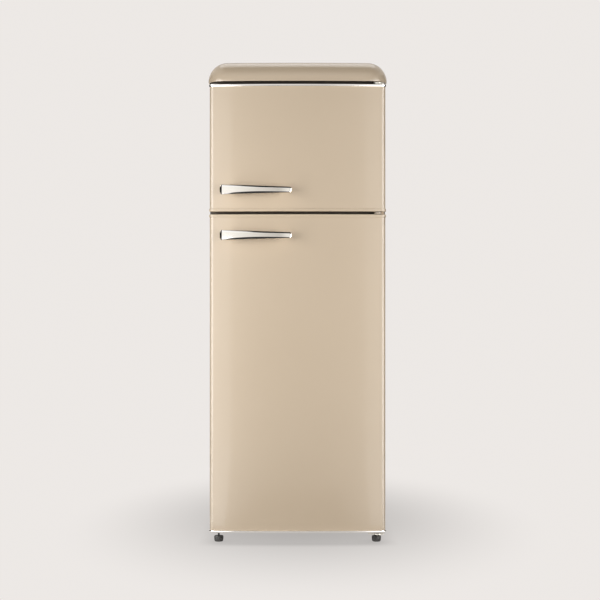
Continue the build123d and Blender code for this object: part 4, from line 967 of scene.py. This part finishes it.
# Each ring of the cup: radius, height and share of the ribs' depth.
CUP = (
    (8.6, 0.7, 0), (9.2, 0.0, 0), (10.4, 0.1, 0), (11.9, 0.8, 0), (13.0, 2.2, 0.3), (13.6, 4.2, 1),
    (14.3, 9.0, 1), (14.4, 14.0, 1), (14.4, 15.4, 0.3), (14.0, 16.9, 0), (12.8, 18.1, 0), (11.0, 18.6, 0),
    (5.4, 18.6, 0),
)
STUD_LOW = 17.5
STUD_RINGS = 46
RING_STEP = 0.5
THREAD_RADII = (3.2, 2.75)
THREAD_CREASE = 80


def turned_ring(x, y, z, radius, depth=0.0):
    """A round ring, with grip ribs cut in by a depth."""
    ring = []
    for step in range(ROUND_STEPS):
        angle = 2 * math.pi * step / ROUND_STEPS
        rib = depth * 0.5 * (1 - math.cos(FOOT_RIBS * angle))
        ring.append((x + (radius - rib) * math.cos(angle), y + (radius - rib) * math.sin(angle), z))
    return ring


for body, (solid, x) in FOOT_PLACES.items():
    cup = skin([turned_ring(x, FOOT_Y, z, radius, RIB_DEPTH * rib) for radius, z, rib in CUP])
    thread = [
        turned_ring(x, FOOT_Y, STUD_LOW + step * RING_STEP, THREAD_RADII[step % 2])
        for step in range(STUD_RINGS)
    ]
    skin_piece(f"{body}_cup", cup, dark_plastic, body, [solid])
    skin_piece(f"{body}_stud", skin(thread), satin_black, body, crease=THREAD_CREASE)
print("feet at", [x for solid, x in FOOT_PLACES.values()])

# %% [markdown]
# ## Smooth copies of good solids
# Liners, bins, the compressor and other mouldings already have the right shape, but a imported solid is
# loose triangles and mirrors light in facets. A merged copy with each flat as one face, shaded smooth with
# normals weighted by face area, keeps the flats flat and the fillets round.

# %% Smooth copies
SMOOTHED = {
    "freezer_liner": white_liner, "fridge_liner": white_liner,
    "freezer_door_liner": white_liner, "fridge_door_liner": white_liner,
    "freezer_door_bin": clear_plastic, "fridge_door_bins": clear_plastic, "bottle_bin": clear_plastic,
    "crisper_drawer": clear_plastic, "freezer_shelf": chrome, "control_housing": white_liner,
    "thermostat_knob": grey_plastic, "freezer_evaporator": aluminium, "compressor": satin_black,
    "compressor_grommets": black_rubber, "terminal_box": dark_plastic, "drip_tray": dark_plastic,
    "filter_drier": copper, "wall_spacers": dark_plastic, "cord_gland": black_rubber,
    "left_rear_roller": dark_plastic, "right_rear_roller": dark_plastic, "glass_shelves": shelf_glass,
}
BODY_OF = {node: body for body, members in frame["record"]["behaviour"]["bodies"].items() for node in members}
COPY_CREASE = 34

for solid, material in SMOOTHED.items():
    mesh = solids[solid].data.copy()
    finish_mesh(mesh, material, COPY_CREASE, join_flats=True)
    place_piece(f"{solid}_smooth", weigh_normals(mesh), BODY_OF[solid], [solid])
print(len(SMOOTHED), "smooth copies")

# %% [markdown]
# ## Side panels
# The cabinet's sides are one folded sheet each, coated outside. The narrow flange at the front, which
# the seal's magnet grips, is near-black like the rails between the doors, painted shade for the gaps round
# the doors, so the panels get a second finish on the faces that look forward.

# %% Side panels
FLANGE_Y = -0.2035
FORWARD = -0.9

for side in ("left", "right"):
    solid = f"{side}_side_panel"
    mesh = solids[solid].data.copy()
    finish_mesh(mesh, cream_powder)
    mesh.materials.append(gap_shade_paint)
    for face in mesh.polygons:
        if face.normal.y < FORWARD and abs(face.center.y - FLANGE_Y) < MM / 2:
            face.material_index = 1
    place_piece(f"{side}_cabinet_side", mesh, "cabinet", [solid])
print("side panels ready")

# %% [markdown]
# ## Liner mouths
# The upright edges of a liner's mouth are rolled over while the sheet is warm, which leaves a soft bead and
# hides the foam behind. One small section is carried up each edge and a little way round both corners.

# %% Liner mouths
MOUTH_HALF = 225.0
MOUTH_CORNER = 15.0
MOUTH_FRONT = -202.3
MOUTHS = {"freezer_liner": (1044.7, 1372.5), "fridge_liner": (92.0, 984.7)}
BEAD = (
    (-0.9, 0.4), (0.3, 0.15), (2.2, 0.6), (3.1, 1.5), (3.4, 2.7), (3.0, 4.2), (1.8, 6.4), (0.4, 8.6),
    (-0.9, 9.4),
)
BEAD_TURN = 60.0
BEAD_FADE = 1.3
BEAD_STEPS = 8


def mouth_bead(side, low, high):
    """One upright edge's bead, as sections from the lower corner to the upper one."""
    rings = []
    for corner_z, start in ((low + MOUTH_CORNER, -BEAD_TURN), (high - MOUTH_CORNER, 0.0)):
        for step in range(BEAD_STEPS + 1):
            turn = math.radians(start + BEAD_TURN * step / BEAD_STEPS)
            swell = math.cos(BEAD_FADE * turn)
            ring = []
            for rise, depth in BEAD:
                reach = MOUTH_CORNER - rise * swell
                x = MOUTH_HALF - MOUTH_CORNER + reach * math.cos(turn)
                ring.append((side * x, MOUTH_FRONT + depth, corner_z + reach * math.sin(turn)))
            rings.append(ring)
    return skin(rings)


for solid, (low, high) in MOUTHS.items():
    beads = merged(mouth_bead(-1, low, high), mouth_bead(1, low, high))
    skin_piece(f"{solid}_mouth", beads, white_liner, "cabinet")
print("liner mouths", MOUTHS)

# %% [markdown]
# ## Finishes on the plain solids
# Flat sheet-metal pieces, hinges and small parts stay as they are packed, and only take their finish.

# %% Plain solids
# The front rails take the near-black painted shade of the door gaps.
PLAIN = {
    "top_panel": galvanised, "back_panel": galvanised, "niche_panel": galvanised,
    "bottom_plate": galvanised, "compressor_plate": galvanised, "front_rails": gap_shade_paint,
    "insulation_foam": foam,
    "shelf_trims": chrome, "top_hinge": zinc, "middle_hinge": cream_enamel, "bottom_hinge": zinc,
    "hinge_pins": zinc, "left_foot_bracket": galvanised, "roller_forks": galvanised, "roller_axles": zinc,
    "freezer_door_foam": foam, "fridge_door_foam": foam, "freezer_door_bushes": dark_plastic,
    "fridge_door_bushes": dark_plastic, "lamp_cover": lamp_lens,
}
for solid, material in PLAIN.items():
    solids[solid].data.materials.clear()
    solids[solid].data.materials.append(material)
dressed = {name for piece in bpy.data.objects for name in piece.get("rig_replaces", [])}
print(len(PLAIN), "plain solids, still to dress", sorted(set(solids) - set(PLAIN) - dressed))

# %% [markdown]
# ## Recipes for what repeats
# The back of the fridge is tubes, wires and screws. Each could be modelled one by one, but a Geometry
# Nodes recipe keeps the rule: a few named sizes in, real geometry out. The recipe runs once on a small
# base mesh, and its result becomes a plain mesh, so nothing is left to evaluate later.

# %% Recipe bench
class Recipe(Bench):
    """A Geometry Nodes tree with named inputs that ends in real geometry with its material set."""

    def __init__(self, name, **inputs):
        self.group = bpy.data.node_groups.new(name, "GeometryNodeTree")
        super().__init__(self.group)
        face = self.group.interface
        face.new_socket("Base", in_out="INPUT", socket_type="NodeSocketGeometry")
        inputs["Material"] = "Material"
        self.labels = {
            label: face.new_socket(label, in_out="INPUT", socket_type=f"NodeSocket{kind}")
            for label, kind in inputs.items()
        }
        face.new_socket("Geometry", in_out="OUTPUT", socket_type="NodeSocketGeometry")
        self.entry = self.tree.nodes.new("NodeGroupInput")

    def given(self, label):
        return Wire(self, self.entry.outputs[label])

    def join(self, first, second):
        whole = self.node("GeometryNodeJoinGeometry", {0: first})
        self.tree.links.new(second.socket, whole.socket.node.inputs[0])
        return whole

    def turned(self, geometry):
        turn = self.node("FunctionNodeEulerToRotation", {0: self.given("Turn")})
        return self.node("GeometryNodeTransform", {"Geometry": geometry, "Rotation": turn})

    def on_points(self, points, thing):
        return self.node("GeometryNodeInstanceOnPoints", {"Points": points, "Instance": thing})

    def painted(self, geometry, label, **chosen):
        sockets = {"Geometry": geometry, "Material": self.given(label), **chosen}
        return self.node("GeometryNodeSetMaterial", sockets)

    def real(self, instances):
        """Real geometry in the recipe's material."""
        return self.painted(self.node("GeometryNodeRealizeInstances", {0: instances}), "Material")

    def close(self, geometry):
        self.node("NodeGroupOutput", {0: geometry})
        return self

    def grow(self, points, edges=(), **values):
        """Run the recipe on a base of points and edges in millimetres, and give the plain mesh."""
        holder = put("base", raw_mesh("base", points, edges))
        modifier = holder.modifiers.new("recipe", "NODES")
        modifier.node_group = self.group
        for label, value in values.items():
            modifier[self.labels[label].identifier] = value
        return plain_mesh(holder)


print("recipe bench ready")

# %% [markdown]
# ## Condenser and pipes
# The condenser is one steel tube in sixteen level runs, painted black, with thin wires spot-welded along
# both faces. The tube recipe rounds a plain zigzag and sweeps a circle along it; the copper pipes of the
# compressor use the same recipe. The rod recipe lays equal rods in a row, once at each base point.

# %% Tube recipe
BEND_STEPS = 7
TUBE_SIDES = 12


def tube_recipe():
    recipe = Recipe("bent_tube", Bend="Float", Radius="Float")
    line = recipe.node("GeometryNodeMeshToCurve", {0: recipe.given("Base")})
    bend = {"Curve": line, "Radius": recipe.given("Bend"), "Count": BEND_STEPS, "Limit Radius": True}
    round_line = recipe.node("GeometryNodeFilletCurve", bend, mode="POLY")
    ring = {"Resolution": TUBE_SIDES, "Radius": recipe.given("Radius")}
    circle = recipe.node("GeometryNodeCurvePrimitiveCircle", ring)
    swept = {"Curve": round_line, "Profile Curve": circle, "Fill Caps": True}
    tube = recipe.node("GeometryNodeCurveToMesh", swept)
    return recipe.close(recipe.real(recipe.node("GeometryNodeSetShadeSmooth", {0: tube})))


bent_tube = tube_recipe()


def tube_mesh(points, radius, bend, material):
    edges = [(step, step + 1) for step in range(len(points) - 1)]
    return bent_tube.grow(points, edges, Bend=bend * MM, Radius=radius * MM, Material=material)


def joined(meshes):
    """Several plain meshes of one material as one mesh."""
    work = bmesh.new()
    for mesh in meshes:
        work.from_mesh(mesh)
    whole = bpy.data.meshes.new("joined")
    work.to_mesh(whole)
    work.free()
    whole.materials.append(meshes[0].materials[0])
    return whole


print("tube recipe", len(bent_tube.tree.nodes), "nodes")

# %% Condenser tube and copper pipes
TUBE_Y = 291.5
PASSES = 16
PITCH = 62.0
LOW_PASS = 303.0
COIL_HALF = 200.0
COIL_RADIUS = 2.5
COIL_BEND = 0.45 * PITCH
RETURN_X = 238.0
RETURN_LOW = 247.0
RISER_X = 215.5
HIGH_PASS = LOW_PASS + PITCH * (PASSES - 1)
PIPE_RADIUS = 3.0
CAPILLARY_RADIUS = 1.5
PIPE_BEND = 14.0
STUB_X = 60.0
DISCHARGE_Y = 182.0
DISCHARGE_Z = 114.0
SUCTION_Y = 135.0
SUCTION_Z = 170.0
CAPILLARY_Z = 127.0
DRIER_LOW = 155.0
WALL_Z = 267.0

zigzag = []
for row in range(PASSES):
    ends = (COIL_HALF, -COIL_HALF) if row % 2 == 0 else (-COIL_HALF, COIL_HALF)
    zigzag += [(x, TUBE_Y, LOW_PASS + row * PITCH) for x in ends]
zigzag[-1] = (RETURN_X, TUBE_Y, HIGH_PASS)
zigzag.append((RETURN_X, TUBE_Y, RETURN_LOW))
coil = tube_mesh(zigzag, COIL_RADIUS, COIL_BEND, satin_black)
place_piece("condenser_coil", coil, "cabinet", ["condenser_tube"])

discharge = [
    (STUB_X, DISCHARGE_Y, DISCHARGE_Z), (RISER_X, DISCHARGE_Y, DISCHARGE_Z), (RISER_X, TUBE_Y, DISCHARGE_Z),
    (RISER_X, TUBE_Y, LOW_PASS), (COIL_HALF, TUBE_Y, LOW_PASS),
]
suction = [(RISER_X, SUCTION_Y, WALL_Z), (RISER_X, SUCTION_Y, SUCTION_Z), (STUB_X, SUCTION_Y, SUCTION_Z)]
capillary = [
    (RETURN_X, TUBE_Y, DRIER_LOW), (RETURN_X, TUBE_Y, CAPILLARY_Z),
    (RETURN_X, SUCTION_Y, CAPILLARY_Z), (RETURN_X, SUCTION_Y, WALL_Z),
]
runs = ((discharge, PIPE_RADIUS), (suction, PIPE_RADIUS), (capillary, CAPILLARY_RADIUS))
pipes = joined([tube_mesh(points, radius, PIPE_BEND, copper) for points, radius in runs])
pipes.shade_smooth()
place_piece("copper_pipes", pipes, "cabinet", ["refrigerant_pipes"])
print("condenser", len(coil.polygons), "faces, pipes", len(pipes.polygons))

# %% Rod recipe, condenser wires and lens ribs
ROD_SIDES = 8


def rod_recipe():
    recipe = Recipe("rod_rows", Count="Int", Step="Vector", Turn="Vector", Length="Float", Radius="Float")
    sizes = {"Vertices": ROD_SIDES, "Radius": recipe.given("Radius"), "Depth": recipe.given("Length")}
    rod = recipe.turned(recipe.node("GeometryNodeMeshCylinder", sizes))
    line = {"Count": recipe.given("Count"), "Offset": recipe.given("Step")}
    row = recipe.on_points(recipe.node("GeometryNodeMeshLine", line), rod)
    return recipe.close(recipe.real(recipe.on_points(recipe.given("Base"), row)))


rod_rows = rod_recipe()


def rods(starts, length, radius, material, count=1, step=(0, 0, 0), turn=(0, 0, 0)):
    """Upright rods unless turned, a row of them from each start."""
    sizes = {"Length": length * MM, "Radius": radius * MM, "Step": [value * MM for value in step]}
    return rod_rows.grow(starts, Count=count, Turn=turn, Material=material, **sizes)


ROD_CREASE = 60
WIRES = 30
WIRE_SPAN = 2 * COIL_HALF - PITCH
WIRE_STEP = WIRE_SPAN / (WIRES - 1)
WIRE_OVERHANG = 18.0
WIRE_LENGTH = HIGH_PASS - LOW_PASS + 2 * WIRE_OVERHANG
WIRE_RADIUS = 0.9
WIRE_OFFSET = COIL_RADIUS + WIRE_RADIUS
RIBS = 9
RIB_START = (48.0, -101.5, 934.3)
RIB_STEP = 6.2
RIB_LENGTH = 78.0
RIB_RADIUS = 1.6

middle = (LOW_PASS + HIGH_PASS) / 2
wire_starts = [(-WIRE_SPAN / 2, TUBE_Y + side * WIRE_OFFSET, middle) for side in (-1, 1)]
wires = rods(wire_starts, WIRE_LENGTH, WIRE_RADIUS, satin_black, WIRES, (WIRE_STEP, 0, 0))
wires.shade_smooth()
wires.set_sharp_from_angle(angle=math.radians(ROD_CREASE))
place_piece("condenser_rods", wires, "cabinet", ["condenser_wires"])

ribs = rods([RIB_START], RIB_LENGTH, RIB_RADIUS, lamp_lens, RIBS, (0, RIB_STEP, 0), (0, math.pi / 2, 0))
place_piece("lens_ribs", ribs, "cabinet")
print("wires", len(wires.polygons), "faces")

# %% [markdown]
# ## Cold scale
# Beside the thermostat knob stands a scale of seven bars that grow towards the cold end. Each bar is a rod
# of its own length, half sunk in the housing's face.

# %% Cold scale
SCALE_BARS = 7
SCALE_START = (-30.0, -141.5, 962.75)
SCALE_STEP = 4.5
SCALE_SHORT = 4.0
SCALE_GROWTH = 2.2
SCALE_RADIUS = 0.7

bars = []
x, y, z = SCALE_START
for step in range(SCALE_BARS):
    length = SCALE_SHORT + SCALE_GROWTH * step
    bars.append(rods([(x + SCALE_STEP * step, y, z)], length, SCALE_RADIUS, grey_plastic))
place_piece("cold_scale", joined(bars), "cabinet")
print("cold scale", SCALE_BARS, "bars")

# %% [markdown]
# ## Screws
# Pan-head screws hold the rear flanges, the cap's back edge, the middle and bottom hinges and the
# compressor's feet. The recipe builds one head, a short cone with a crossed recess, and sets it on every
# base point; a second material, picked by a stored mark, paints the recess black as painted shade.

# %% Screw recipe
HEAD_HEIGHT = 0.45
HEAD_TOP = 0.62
HEAD_SIDES = 24
SLOT_WIDTH = 0.2
SLOT_DEPTH = 0.2
SLOT_LIFT = 0.93


def screw_recipe():
    recipe = Recipe("screw_heads", Turn="Vector", Radius="Float", Recess="Material")
    radius = recipe.given("Radius")
    height = radius * HEAD_HEIGHT
    cone = {"Vertices": HEAD_SIDES, "Radius Top": radius * HEAD_TOP, "Radius Bottom": radius, "Depth": height}
    head = recipe.node("GeometryNodeMeshCone", cone)
    bars = []
    for long_side, short_side in ((1.0, SLOT_WIDTH), (SLOT_WIDTH, 1.0)):
        size = {"X": radius * long_side, "Y": radius * short_side, "Z": height * SLOT_DEPTH}
        size = recipe.node("ShaderNodeCombineXYZ", size)
        bar = recipe.node("GeometryNodeMeshCube", {"Size": size})
        lift = recipe.node("ShaderNodeCombineXYZ", {"Z": height * SLOT_LIFT})
        bars.append(recipe.node("GeometryNodeTransform", {"Geometry": bar, "Translation": lift}))
    mark = {"Geometry": recipe.join(*bars), "Name": "recess", "Value": True}
    cross = recipe.node("GeometryNodeStoreNamedAttribute", mark, data_type="BOOLEAN", domain="FACE")
    metal = recipe.real(recipe.on_points(recipe.given("Base"), recipe.turned(recipe.join(head, cross))))
    marked = recipe.node("GeometryNodeInputNamedAttribute", {"Name": "recess"}, data_type="BOOLEAN")
    # The cross is painted black: painted shade in the recess.
    return recipe.close(recipe.painted(metal, "Recess", Selection=marked))


screw_heads = screw_recipe()
TURNS = {"back": (-math.pi / 2, 0, 0), "front": (math.pi / 2, 0, 0), "up": (0, 0, 0), "down": (math.pi, 0, 0)}
# Each set: every x, every y and every z of its heads in millimetres, the way they face, their radius.
SCREWS = {
    "rear_flange_screws": ((-264, 264), (274.4,), (330, 575, 820, 1065, 1310), "back", 4.2),
    "cap_screws": ((-215, 0, 215), (277.4,), (1438,), "back", 4.2),
    "mount_bolts": ((-24, 144), (144, 220), (66.9,), "up", 6.5),
    "hinge_screws": ((256,), (-206.4,), (1004, 1025.5), "front", 3.6),
    "bracket_screws": ((228,), (-186, -176), (38.1,), "down", 3.6),
}
for name, (*spans, turn, radius) in SCREWS.items():
    places = list(itertools.product(*spans))
    screws = screw_heads.grow(places, Turn=TURNS[turn], Radius=radius * MM, Material=zinc, Recess=satin_black)
    place_piece(name, screws, "cabinet")
print("screws", list(SCREWS))
